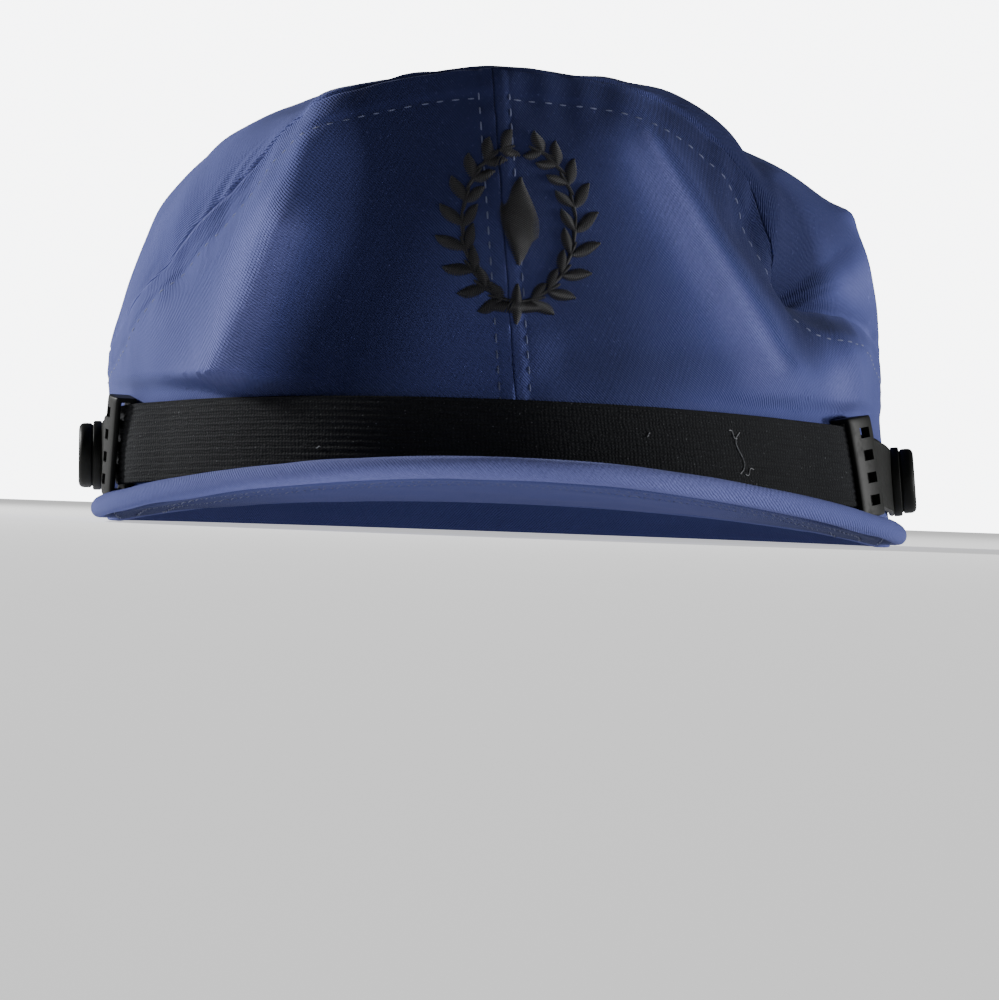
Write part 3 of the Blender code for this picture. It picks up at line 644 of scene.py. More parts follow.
def shell_piece(name, outer, inner, place, wear, ring=False):
    """A closed sheet of twill that stands for the solid of this name.

    On a ring the last column repeats the first, and the last row is a pole.
    """
    rows, columns = outer.shape[:2]
    kept = columns - 1 if ring else columns
    body = rows - 1 if ring else rows
    index = np.arange(body * kept).reshape(body, kept)
    points = [outer[:body, :kept].reshape(-1, 3), inner[:body, :kept].reshape(-1, 3)]
    # worn holds the outer side's wear, painted highlight and painted shade; the inner side gets 0.
    worn = np.concatenate([wear[:body, :kept].ravel(), np.zeros(body * kept + 2 * ring)])
    if ring:
        index = looped(index)
    under = index + body * kept
    flat = place[:body]
    faces = [cells(index).reshape(-1, 4), cells(under).reshape(-1, 4)[:, ::-1]]
    corners = [cells(flat).reshape(-1, 2), cells(flat).reshape(-1, 4, 2)[:, ::-1]]
    borders = [(index[0, ::-1], under[0, ::-1], flat[0, ::-1])]
    if ring:
        poles = 2 * body * kept + np.arange(2)
        points.append(np.array([outer[-1, 0], inner[-1, 0]]))
        for pole, line, turn in ((poles[0], index[-1], 1), (poles[1], under[-1], -1)):
            fan = np.stack([line[:-1], line[1:], np.full(len(line) - 1, pole)], axis=1)
            mapped = np.stack([flat[-1, :-1], flat[-1, 1:],
                               np.broadcast_to(place[-1, 0], flat[-1, 1:].shape)], axis=1)
            faces.append(fan[:, ::turn])
            corners.append(mapped[:, ::turn])
    else:
        borders.append((index[-1], under[-1], flat[-1]))
        borders.append((index[:, 0], under[:, 0], flat[:, 0]))
        borders.append((index[::-1, -1], under[::-1, -1], flat[::-1, -1]))
    for first, second, line in borders:
        faces.append(strip(first, second))
        corners.append(strip(line, line))
    finish_piece(name + "_twill", np.concatenate(points), faces, corners, blue_twill,
                 [name], wear=worn)


def tube_piece(name, points, place, look, nodes=(), sharp=50.0, wear=None):
    """A closed profile carried along a path: rows are profiles, and both ends get a lid."""
    rows, around = points.shape[:2]
    index = looped(np.arange(rows * around).reshape(rows, around))
    lids = np.stack([index[0, :-1][::-1], index[-1, :-1]])
    mapped = np.stack([place[0, :-1][::-1], place[-1, :-1]])
    faces = [cells(index).reshape(-1, 4), lids]
    finish_piece(name, points.reshape(-1, 3), faces, [cells(place), mapped], look, nodes,
                 sharp, wear)

# %% [markdown]
# ## Small forms on the cloth
# Sewn cloth is never smooth. Over a seam the turned-in edges make a low raised band, the topstitch
# pulls a shallow channel along it, and the cloth puckers between the stitches. All of this is a
# height over the plain surface, in metres, worked out from the distance to the seam.

# %% Relief
SEAM_ROLL = 0.0005  # radius that a piece's edge turns in by, at a seam
BAND_RISE = 0.00030
STITCH_DIP = 0.00030
STITCH_DIP_WIDTH = 0.0008
PUCKER = 0.00016
PUCKER_PITCH = 0.0075
WAVE_HEIGHT = 0.00012  # slack waves of the walls
WAVE_PITCH = 0.028
DIMPLE_HEIGHT = 0.00004
DIMPLE_PITCH = 0.010
TOP_RIPPLES = ((0.00030, 0.034), (0.00008, 0.012))  # height, pitch
CENTRE_BAND = 0.0030
TOP_BAND = 0.0056
HEM_BAND = 0.0045


def path_lengths(points, axis):
    """Metres from the first row or column, measured along the grid."""
    steps = np.linalg.norm(np.diff(points, axis=axis), axis=-1)
    lengths = np.cumsum(steps, axis=axis)
    return np.concatenate([np.zeros_like(np.take(lengths, [0], axis=axis)), lengths], axis=axis)


def ripples(along, up, pitch, seed, waves=7):
    """Sum of sines that run in random directions, with lengths near the pitch, about -1 to 1."""
    chosen = np.random.default_rng(seed)
    total = 0.0
    for _ in range(waves):
        heading, stretch, phase = chosen.uniform((0.0, 0.7, 0.0), (math.pi, 1.5, 2.0 * math.pi))
        cross = along * math.cos(heading) + up * math.sin(heading)
        total = total + np.sin(2.0 * math.pi * cross / (pitch * stretch) + phase)
    return total / math.sqrt(waves)


def rolled_edge(away):
    """Minus the drop of a quarter circle: the surface turns in over the last stretch."""
    inside = SEAM_ROLL - np.clip(away, 0.0, SEAM_ROLL)
    return np.sqrt(SEAM_ROLL ** 2 - inside ** 2) - SEAM_ROLL


def seam_relief(away, run, band, seed):
    """A rolled edge, raised up to the band's width, dipped where stitched, and puckered."""
    raised = BAND_RISE * (1.0 - smooth_step(away, band - 0.0005, band + 0.0014))
    dip = STITCH_DIP * np.exp(-((away - band) / STITCH_DIP_WIDTH) ** 2)
    near = np.exp(-((away - 0.7 * band) / (1.3 * band)) ** 2)
    pucker = PUCKER * near * ripples(run, 0.3 * away, PUCKER_PITCH, seed)
    return raised - dip + pucker + rolled_edge(away)


def seam_distance(along, heights):
    """Shortest way from each grid point to the grid's last row, laid out flat."""
    seam = np.stack([along[-1], heights[-1]], axis=-1)[::2]
    flat = np.stack([along, heights], axis=-1)
    return np.stack([np.linalg.norm(row[:, None] - seam, axis=-1).min(axis=1) for row in flat])


def crowded(count, amount):
    """Shares from 0 to 1 that stand closer together near both ends."""
    even = np.linspace(0.0, 1.0, count)
    return even - amount * np.sin(2.0 * math.pi * even) / (2.0 * math.pi)


# %% [markdown]
# ## Side walls
# Each wall runs from the front seam to the back seam. In real life it is two layers of twill, cut
# flat and sewn at both ends. It could be draped by a simulation, but the photo shows exactly where
# the folds lie, so the surface is worked out from them instead, and the small forms go on top. The
# walls' grids are kept, because the stitches and the motif are placed on them later.

# %% Side walls
WALL_COLUMNS = 330
WALL_ROWS = 112
CROWDING = 0.72
WALL_SHARES = crowded(WALL_ROWS, CROWDING)
sheets = {}


def make_wall(name, side, seed):
    """Outer grid: the wall function plus the relief. Inner grid: one cloth thickness behind."""
    angles = front_seam_angle + (side * 180.0 - front_seam_angle) * crowded(WALL_COLUMNS, CROWDING)
    half_gap = math.degrees(0.5 * SEWN_GAP / HALF_WIDTH)
    angles[0] += side * half_gap
    angles[-1] -= side * half_gap
    angles = np.sort(angles)
    rim = rim_height(angles)
    top = section_values(angles)[0] * CROWN_HEIGHT - SEAM_FLAT
    heights = rim + WALL_SHARES[:, None] * (top - rim)
    base = np.concatenate([wall_point(angles, heights), seam_line(angles)[0][None]])
    normals = grid_normals(base)
    along = path_lengths(base, 1)
    up = path_lengths(base, 0)
    from_front = along if side > 0 else along[:, -1:] - along
    from_back = along[:, -1:] - from_front
    from_top = np.minimum(seam_distance(along[:1] + 0.0 * up, base[..., 2]), up[-1:] - up)
    seams = ((from_front, up, CENTRE_BAND), (from_back, up, CENTRE_BAND),
             (from_top, along, TOP_BAND), (up, along, HEM_BAND))
    relief = sum(seam_relief(*seam, seed + number) for number, seam in enumerate(seams))
    waves = WAVE_HEIGHT * ripples(along, up, WAVE_PITCH, seed + 4) * smooth_step(up, 0.004, 0.020)
    relief = relief + waves + DIMPLE_HEIGHT * ripples(along, up, DIMPLE_PITCH, seed + 5)
    outer = base + relief[..., None] * normals
    rim_arc = along[:1] if side > 0 else along[:1] - along[:1, -1:]
    sheets[name] = (angles, rim, top, outer, grid_normals(outer))
    shell_piece(name, outer, base - CLOTH * normals, paired(rim_arc, up),
                cloth_wear_and_painted_light(base, from_top))


make_wall("wall_left", 1, 11)
make_wall("wall_right", -1, 31)

# %% [markdown]
# ## Top panel
# The top panel is cut much wider than the wall's upper edge, so it rises from the seam, bulges
# out and lies over in soft folds. Its grid is a set of rings from the seam to the middle of the
# crown. The UV map is laid out round that middle, so the ribs run straight across the panel.

# %% Top panel
TOP_COLUMNS = 560
TOP_RINGS = 80


def make_top():
    """Rings of the top function at growing runs, with a rolled edge at the seam."""
    angles = np.linspace(-180.0, 180.0, TOP_COLUMNS + 1)
    edge = seam_line(angles)[1]
    first = first_run(angles)
    share = np.linspace(0.0, 1.0, TOP_RINGS)[:, None]
    run = first + (1.0 - first) * (0.15 * share + 0.85 * share ** 2)
    base = np.concatenate([edge[None], top_point(angles, run)])
    normals = grid_normals(base, ring=True)
    normals[-1] = unit(normals[-2].mean(axis=0))
    up = path_lengths(base, 0)
    along = path_lengths(base, 1)
    from_middle = up[-1:] - up
    turn = np.radians(angles)
    right, back = from_middle * np.sin(turn), -from_middle * np.cos(turn)
    near = np.exp(-(up / 0.006) ** 2)
    relief = rolled_edge(up) + PUCKER * near * ripples(along, 0.3 * up, 0.008, 51)
    for seed, (height, pitch) in enumerate(TOP_RIPPLES, 52):
        relief = relief + height * ripples(right, back, pitch, seed)
    shell_piece("top_panel", base + relief[..., None] * normals, base - CLOTH * normals,
                paired(right, back), cloth_wear_and_painted_light(base, up), ring=True)


make_top()

# %% [markdown]
# ## Peak
# The peak is a stiff board covered with twill. Its front edge is a thick soft roll, held by a row
# of stitches in a groove behind it. One closed section, from the root's lower edge round the roll
# and back, is carried round the front of the rim, and it gets shorter towards the sides.

# %% Peak
PEAK_LENGTH = 0.0530
PEAK_TIP = 0.0012
PEAK_TAPER = 1.4
PEAK_ARCH = 0.0108
PEAK_SPREAD = 0.0852
PEAK_BOARD = 0.0030
PEAK_ROLL = 0.0042
GROOVE_DEPTH = 0.0017
GROOVE_WIDTH = 0.0010
GROOVE_BACK = 0.0047  # from the front edge to the groove behind the roll
PEAK_STITCH_ROWS = (0.0105, 0.0165)  # behind the front edge
CHANNEL_DEPTH = 0.00028
CHANNEL_WIDTH = 0.0009
ROLL_FADE = 0.0012
ROLL_LUMPS = 0.05
PEAK_RIPPLE = 0.00012
PEAK_END_PAINTED_SHADE = 0.9  # how far the peak's ends are darkened with painted shade
PEAK_SHADE_RANGE = (0.030, 0.075)  # metres from the middle
PEAK_SIDE_COLUMNS = 300
UNDER_POINTS = 90
ROLL_POINTS = 22


def peak_grid():
    """Closed sections (underside, roll and top) by columns round the rim, and their wear: the roll
    paled as wear and painted highlight, the ends darkened with painted shade.
    """
    even = np.linspace(-1.0, 1.0, PEAK_SIDE_COLUMNS)
    angles = PEAK_ROOT_ANGLE * (0.6 * even + 0.4 * np.sin(0.5 * math.pi * even))
    normal_x, normal_y = outline_normal(angles)
    turn = np.radians(angles)
    taper = np.clip(np.cos(0.5 * math.pi * angles / PEAK_ROOT_ANGLE), 0.0, None)
    length = np.maximum(PEAK_TIP, PEAK_LENGTH * taper ** PEAK_TAPER)
    root_x = HALF_WIDTH * np.sin(turn) + SEWN_GAP * normal_x
    root_y = -HALF_LENGTH * np.cos(turn) + SEWN_GAP * normal_y
    root_z = rim_height(angles)
    edge_x = root_x + length * normal_x
    edge_z = np.maximum(0.0, PEAK_ARCH * (1.0 - (edge_x / PEAK_SPREAD) ** 2))
    roll = np.minimum(0.5 * PEAK_ROLL, 0.45 * length)
    grown = smooth_step(length, 2.0 * PEAK_ROLL, 4.0 * PEAK_ROLL)
    flat = length - roll
    back = np.sin(0.5 * math.pi * np.linspace(0.0, 1.0, UNDER_POINTS))[:, None]
    under_away = flat * back
    from_edge = length - under_away
    behind_roll = np.clip(from_edge - 1.7 * roll, 0.0, None)
    rise = (PEAK_ROLL - PEAK_BOARD) * np.exp(-behind_roll / ROLL_FADE)
    groove = np.exp(-((from_edge - GROOVE_BACK) / GROOVE_WIDTH) ** 2) * GROOVE_DEPTH * grown
    channels = sum(np.exp(-((from_edge - row) / CHANNEL_WIDTH) ** 2) for row in PEAK_STITCH_ROWS)
    channels = CHANNEL_DEPTH * channels * smooth_step(length, 0.024, 0.030)
    ripple = PEAK_RIPPLE * grown * ripples(root_x, under_away, 0.016, 71)
    under = groove + channels + ripple
    over = PEAK_BOARD + rise - groove - channels + ripple
    bend = np.radians(np.linspace(-90.0, 90.0, ROLL_POINTS + 2)[1:-1])[:, None]
    lump = 1.0 + ROLL_LUMPS * ripples(root_x, 0.002 * bend, 0.014, 72)
    roll_over = 0.5 * PEAK_ROLL + 0.5 * PEAK_ROLL * np.sin(bend) * lump
    away = np.concatenate([under_away, flat + roll * np.cos(bend), under_away[::-1]])
    height = np.concatenate([under, roll_over, over[::-1]])
    share = away / length
    points = np.stack([root_x + away * normal_x, root_y + away * normal_y,
                       root_z + (edge_z - root_z) * share + height], axis=-1)
    # The roll is paled, partly as wear and partly as painted highlight, and the ends are darkened
    # with painted shade.
    wear = (np.exp(-(np.clip(length - away - roll, 0.0, None) / ROLL_FADE) ** 2)
            - PEAK_END_PAINTED_SHADE * smooth_step(np.abs(points[..., 0]), *PEAK_SHADE_RANGE))
    return np.swapaxes(points, 0, 1), wear.T.ravel()


peak_points, peak_wear_and_painted_light = peak_grid()
peak_edge = peak_points[:, UNDER_POINTS + ROLL_POINTS // 2]
peak_place = paired(path_lengths(peak_edge[:, None], 0), path_lengths(looped(peak_points), 1))
tube_piece("peak_twill", peak_points, peak_place, blue_twill, ["peak"], 70.0,
           peak_wear_and_painted_light)

# %% [markdown]
# ## Chin strap
# The strap is a flat knitted band that lies against the front of the wall and passes through the
# plastic slides. It is a rounded flat section, carried along a line on the wall.

# %% Chin strap
STRAP_WIDTH = 0.0165
STRAP_THICKNESS = 0.0014
STRAP_FRONT_HEIGHT = 0.0186
STRAP_SIDE_HEIGHT = 0.0140
BUTTON_ANGLE = 84.0
KEEPER_ANGLES = {"left": 60.0, "right": -65.0}
KEEPER_LENGTH = 0.0100
KEEPER_RIM = 0.0011
KEEPER_WALL = 0.0013
KEEPER_LEAN = 6.0
STRAP_SLOPE = 2.6
STRAP_LIFT_ANGLE = 14.0
TAB_HEIGHT = 0.0145
TAB_THICKNESS = 0.0014
TAB_PAST_BUTTON = 0.0060
STRAP_COLUMNS = 420
RIB_HEIGHT = 0.00007
RIB_PITCH = 0.00130
SLACK = 0.00012
SLACK_PITCH = 0.022


def strap_height(angle):
    """Height of the band's middle: highest in front, falling with the square of the angle."""
    share = np.abs(angle) / BUTTON_ANGLE
    return STRAP_FRONT_HEIGHT - (STRAP_FRONT_HEIGHT - STRAP_SIDE_HEIGHT) * share ** 2


def strap_clearance(angles):
    """From the wall to the band, which rises where a slide's back plate passes behind it."""
    keeper = np.where(np.asarray(angles) < 0, KEEPER_ANGLES["right"], KEEPER_ANGLES["left"])
    away = np.abs(np.asarray(angles) - keeper)
    near = 1.0 - smooth_step(away, 0.3 * STRAP_LIFT_ANGLE, STRAP_LIFT_ANGLE)
    return SEAM_GAP + (KEEPER_WALL + SEAM_GAP) * near


def arc_angle(angle, length):
    """Degrees round the rim that a short length takes at this angle."""
    turn = math.radians(angle)
    speed = math.hypot(HALF_WIDTH * math.cos(turn), HALF_LENGTH * math.sin(turn))
    return math.degrees(length / speed)


def band_section(thickness, across, bend):
    """Rounded flat section: shares of the width and heights over the band's back, as a loop."""
    turn = np.linspace(-0.5 * math.pi, 0.5 * math.pi, bend)
    front = np.linspace(-0.5, 0.5, across)
    cap = 0.5 * thickness * np.cos(turn)
    share = np.concatenate([front, np.full(bend, 0.5), front[::-1], np.full(bend, -0.5)])
    inset = np.concatenate([np.zeros(across), cap, np.zeros(across), -cap])
    inset = inset - 0.5 * thickness * np.sign(share) * (np.abs(share) > 0.499)
    over = np.concatenate([np.full(across, thickness), 0.5 * thickness * (1.0 - np.sin(turn)),
                           np.zeros(across), 0.5 * thickness * (1.0 + np.sin(turn))])
    return share, inset, over


def make_band(name, angles, widths, thickness, across, relief, look, nodes):
    """Rows are sections at each angle: up the wall by the share of the width, out by the rest."""
    share, inset, over = band_section(thickness, across, 7)
    up = share * widths[:, None] + inset
    normal_x, normal_y = outline_normal(angles)
    points = wall_point(angles[:, None], strap_height(angles)[:, None] + up)
    along = path_lengths(points[:, :1], 0)
    front = smooth_step(over, 0.4 * thickness, 0.9 * thickness)
    out = strap_clearance(angles)[:, None] + over + front * relief(along, up)
    points[..., 0] += out * normal_x[:, None]
    points[..., 1] += out * normal_y[:, None]
    tube_piece(name, points, paired(along, path_lengths(looped(points), 1)), look, nodes)


def webbing_relief(along, up):
    """Low ribs along the band and the slack waves of a worn strap."""
    ribs = RIB_HEIGHT * np.sin(2.0 * math.pi * up / RIB_PITCH)
    return ribs + SLACK * ripples(along, up, SLACK_PITCH, 81)


strap_start = KEEPER_ANGLES["right"] + arc_angle(KEEPER_ANGLES["right"], 0.5 * SEAM_GAP)
strap_end = KEEPER_ANGLES["left"] - arc_angle(KEEPER_ANGLES["left"], 0.5 * SEAM_GAP)
make_band("chin_strap_webbing", np.linspace(strap_start, strap_end, STRAP_COLUMNS),
          np.full(STRAP_COLUMNS, STRAP_WIDTH), STRAP_THICKNESS, 90, webbing_relief,
          black_webbing, ["chin_strap"])

# %% [markdown]
# ## Lint on the strap
# A knit strap picks up lint: one long pale thread lies on it in an S, and a few short fibres stick
# to it. Each is a thin tube along a wavy line, held just above the strap's face.

# %% Lint on the strap
LINT_RADIUS = 0.00010
LINT_STEPS = 28
LINT_SIDES = 5
LINT = (
    # middle angle, share of the strap's width, length in metres, slant in degrees, bend
    (35.0, 0.52, 0.0085, 80.0, 0.0013),
    (36.2, 0.30, 0.0030, 20.0, 0.0005),
    (34.2, 0.74, 0.0026, -35.0, -0.0004),
    (21.0, 0.66, 0.0012, 40.0, 0.0001),
    (-24.0, 0.38, 0.0011, 15.0, 0.0001),
)


def lint_piece(number, middle, share, length, slant, bend):
    """A tube round the line (length * t, bend * sin(2 pi t)), turned by slant on the strap."""
    run = np.linspace(-0.5, 0.5, LINT_STEPS)
    side = bend * np.sin(2.0 * math.pi * run)
    turn = math.radians(slant)
    along = length * run * math.cos(turn) - side * math.sin(turn)
    up = length * run * math.sin(turn) + side * math.cos(turn) + (share - 0.5) * STRAP_WIDTH
    angles = middle + np.degrees(along / HALF_LENGTH)
    normal_x, normal_y = outline_normal(angles)
    out = np.stack([normal_x, normal_y, 0.0 * normal_x], axis=-1)
    lift = strap_clearance(angles) + STRAP_THICKNESS + LINT_RADIUS
    line = wall_point(angles, strap_height(angles) + up) + lift[:, None] * out
    beside = np.cross(out, unit(np.gradient(line, axis=0)))
    turn = np.linspace(0.0, 2.0 * math.pi, LINT_SIDES + 1)
    ring = np.cos(turn)[:, None] * out[:, None] + np.sin(turn)[:, None] * beside[:, None]
    points = line[:, None] + LINT_RADIUS * ring
    tube_piece("chin_strap_lint_%d" % number, points[:, :-1],
               paired(path_lengths(line[:, None], 0), LINT_RADIUS * turn), lint_fibre,
               ["chin_strap"])


for number, values in enumerate(LINT):
    lint_piece(number, *values)

# %% [markdown]
# ## Tabs
# A moulded tab of nearly the same section leads on from each slide to the side button.

# %% Tabs
TAB_COLUMNS = 90
END_COLUMNS = 40
END_ROUNDING = 0.955  # share of a half circle, which leaves a narrow end


def plain_relief(along, up):
    """Moulded plastic is smooth."""
    return 0.0 * along * up


def make_tab(side_name):
    """A plain band whose width follows a half circle at its far end."""
    keeper = KEEPER_ANGLES[side_name]
    start = abs(keeper) + arc_angle(keeper, 0.5 * SEAM_GAP)
    end = BUTTON_ANGLE + arc_angle(BUTTON_ANGLE, TAB_PAST_BUTTON)
    bend = np.sin(0.5 * math.pi * np.linspace(0.0, 1.0, END_COLUMNS))[1:]
    angles = np.concatenate([np.linspace(start, BUTTON_ANGLE, TAB_COLUMNS),
                             BUTTON_ANGLE + (end - BUTTON_ANGLE) * bend])
    widths = np.full(angles.shape, TAB_HEIGHT)
    widths[TAB_COLUMNS:] *= np.sqrt(1.0 - END_ROUNDING * bend ** 2)
    if keeper < 0:
        angles, widths = -angles[::-1], widths[::-1]
    make_band("strap_tab_" + side_name + "_plastic", angles, widths, TAB_THICKNESS, 26,
              plain_relief, black_plastic, ["strap_tab_" + side_name])


for side_name in KEEPER_ANGLES:
    make_tab(side_name)

# %% [markdown]
# ## Slides
# A slide is a flat plastic loop. Its outer plate bows out a little and has four holes, and the
# webbing passes through its deep slot. The loop is a rounded wall section carried round a rounded
# rectangle. The holes are cut with a Boolean, and the result is stored in the mesh.

# %% Slides
KEEPER_HOLE = np.array((0.0042, 0.0022))
KEEPER_HOLES = 4
PLATE_BOW = 0.0008
SLIDE_CURVE = 0.0016  # the top of each slide curves this far towards the front
SLIDE_TWIST = {"left": 6.0, "right": 7.0}  # degrees that each loose slide is turned by
SLIDE_AROUND = 160
SLIDE_SECTION = 28
OUTLINE_POWER = 0.12
SECTION_POWERS = (0.22, 0.30)


def wall_frame(angle, clearance):
    """Matrix at the strap's line: X runs round the rim, Y up the wall and Z out of it."""
    height = float(strap_height(angle))
    turned = np.array([angle + 0.5, angle - 0.5, angle, angle, angle])
    raised = height + np.array([0.0, 0.0, 0.001, -0.001, 0.0])
    ahead, behind, over, under, middle = (Vector(point) for point in wall_point(turned, raised))
    along = (ahead - behind).normalized()
    up = (over - under).normalized()
    out = along.cross(up).normalized()
    up = out.cross(along).normalized()
    rotation = Matrix((along, up, out)).transposed().to_4x4()
    return Matrix.Translation(middle + out * clearance) @ rotation


def squared(wave, power):
    """A sine or cosine whose size is raised to a power below 1, which squares a circle."""
    return np.sign(wave) * np.abs(wave) ** power


def rounded_rectangle(height, depth):
    """Points round a rectangle with rounded corners, as a column of Y and a column of Z."""
    turn = np.linspace(0.0, 2.0 * math.pi, SLIDE_AROUND, endpoint=False)[:, None]
    return (squared(np.cos(turn), OUTLINE_POWER) * 0.5 * height,
            squared(np.sin(turn), OUTLINE_POWER) * 0.5 * depth)


def plain_object(name, points, faces):
    """A linked object with these points and faces."""
    mesh = bpy.data.meshes.new(name)
    mesh.from_pydata(points, [], faces)
    return linked(name, mesh)


def slide_loop(slot_height, slot_depth, height, depth):
    """Wall sections between the slot's outline and the outer outline."""
    slot_y, slot_z = rounded_rectangle(slot_height, slot_depth)
    rim_y, rim_z = rounded_rectangle(height, depth)
    turn = np.linspace(0.0, 2.0 * math.pi, SLIDE_SECTION, endpoint=False)
    across = squared(np.cos(turn), SECTION_POWERS[0])
    share = 0.5 + 0.5 * squared(np.sin(turn), SECTION_POWERS[1])
    y = slot_y + (rim_y - slot_y) * share
    z = slot_z + (rim_z - slot_z) * share
    z = z + PLATE_BOW * (z > 0.5 * slot_depth - 0.0001) * share * (1.0 - across ** 2)
    points = np.stack(np.broadcast_arrays(0.5 * KEEPER_LENGTH * across, y, z), axis=-1)
    index = looped(np.arange(y.size).reshape(y.shape))
    index = np.vstack([index, index[:1]])
    return plain_object("slide", points.reshape(-1, 3).tolist(),
                        cells(index).reshape(-1, 4).tolist())


def hole_boxes(slot_height, slot_depth, depth):
    """Boxes that reach from inside the slot out through the plate."""
    corners = 0.5 * KEEPER_HOLE * np.array([(-1, -1), (1, -1), (1, 1), (-1, 1)])
    boxes, walls = [], []
    for number in range(KEEPER_HOLES):
        middle = (number - 0.5 * (KEEPER_HOLES - 1)) * slot_height / KEEPER_HOLES
        for level in (0.25 * slot_depth, depth):
            boxes += [(corner[0], corner[1] + middle, level) for corner in corners]
        first = 8 * number
        walls += [tuple(first + k for k in (3, 2, 1, 0)), tuple(first + k for k in (4, 5, 6, 7))]
        walls += [(first + k, first + (k + 1) % 4, first + 4 + (k + 1) % 4, first + 4 + k)
                  for k in range(4)]
    return plain_object("cutter", boxes, walls)


def make_slide(side_name):
    """Cut the holes into the loop, curve and turn it, and set it on the strap's line."""
    angle = KEEPER_ANGLES[side_name]
    slant = math.radians(KEEPER_LEAN + STRAP_SLOPE)
    slot_height = STRAP_WIDTH / math.cos(slant) + KEEPER_LENGTH * math.tan(slant) + 2.0 * SEAM_GAP
    slot_depth = max(STRAP_THICKNESS, TAB_THICKNESS) + 2.0 * SEAM_GAP
    height = slot_height + 2.0 * KEEPER_RIM
    depth = slot_depth + 2.0 * KEEPER_WALL
    loop = slide_loop(slot_height, slot_depth, height, depth)
    cutter = hole_boxes(slot_height, slot_depth, depth)
    cut = loop.modifiers.new("holes", "BOOLEAN")
    cut.operation = "DIFFERENCE"
    cut.solver = "EXACT"
    cut.object = cutter
    mesh = bpy.data.meshes.new_from_object(
        loop.evaluated_get(bpy.context.evaluated_depsgraph_get()))
    for used in (loop, cutter):
        bpy.data.objects.remove(used)
    spots = np.zeros(3 * len(mesh.vertices))
    mesh.vertices.foreach_get("co", spots)
    spots[0::3] -= math.copysign(SLIDE_CURVE, angle) * (0.5 + spots[1::3] / height) ** 2
    mesh.vertices.foreach_set("co", spots)
    lean = Matrix.Rotation(math.copysign(math.radians(KEEPER_LEAN), angle), 4, "Z")
    twist = Matrix.Rotation(math.radians(-SLIDE_TWIST[side_name]), 4, "Y")
    mesh.transform(wall_frame(angle, SEAM_GAP + 0.5 * depth) @ lean @ twist)
    mesh.materials.clear()
    name = "strap_keeper_" + side_name
    dress(name + "_plastic", mesh, black_plastic, [name], 40.0)


for side_name in KEEPER_ANGLES:
    make_slide(side_name)

# %% [markdown]
# ## Side buttons
# Each button is turned: a wider collar below and a disc with a soft rounded edge on top. A turned
# surface is a profile of radius and height, repeated round the axis.

# %% Side buttons
BUTTON_COLUMNS = 72
BUTTON_PROFILE = 0.001 * np.array((
    # radius and height in millimetres, from the back to the middle of the face
    (0.4, -0.45), (7.2, -0.45), (7.42, -0.40), (7.5, -0.20), (7.5, 0.95), (7.42, 1.25), (7.2, 1.38),
    (6.75, 1.42), (6.62, 1.5), (6.66, 1.62), (6.9, 1.75), (7.0, 2.0), (7.0, 3.25), (6.93, 3.7),
    (6.7, 4.08), (6.3, 4.36), (5.7, 4.48), (4.6, 4.46), (3.4, 4.36), (1.8, 4.28), (0.4, 4.26),
))


def make_button(side_name):
    """The profile turned round the button's axis, then placed on the tab."""
    angle = math.copysign(BUTTON_ANGLE, KEEPER_ANGLES[side_name])
    turn = np.linspace(0.0, 2.0 * math.pi, BUTTON_COLUMNS + 1)
    radius, over = BUTTON_PROFILE[:, :1], BUTTON_PROFILE[:, 1:]
    points = np.stack(np.broadcast_arrays(radius * np.cos(turn), radius * np.sin(turn), over),
                      axis=-1)
    clearance = float(strap_clearance(angle)) + TAB_THICKNESS + SEAM_GAP
    matrix = np.array(wall_frame(angle, clearance))
    points = points @ matrix[:3, :3].T + matrix[:3, 3]
    name = "button_" + side_name
    tube_piece(name + "_plastic", points[:, :-1], paired(radius * turn, over + radius),
               black_plastic, [name], 35.0)


for side_name in KEEPER_ANGLES:
    make_button(side_name)

# %% [markdown]
# ## Stitching
# Topstitches show as short pale dashes, three millimetres apart. Each one is a tiny bent tube that
# dives into the cloth at both ends. They are placed on the finished surfaces, so they follow every
# pucker: a line of stitches is a line of points on the grid, cut into equal steps.

# %% Stitching
STITCH_PITCH = 0.0032
STITCH_LENGTH = 0.0024
STITCH_RADIUS = 0.00018
STITCH_WANDER = 0.00010
TOP_SINK = 0.00011  # the row under the top seam is pulled deeper into the cloth
HEM_STITCHES = (78.0, 177.6)  # degrees, behind the peak
THREAD_RINGS = 5
THREAD_SIDES = 6


def tiles(grids):
    """The four corners of every quad of each grid. The grids stand along the first axis."""
    return np.stack([grids[:, :-1, :-1], grids[:, 1:, :-1], grids[:, 1:, 1:],
                     grids[:, :-1, 1:]], axis=3)


def square_to(vectors, axis):
    """Unit vectors square to another unit vector, from which they take that part off."""
    return unit(vectors - np.sum(vectors * axis, axis=1, keepdims=True) * axis)


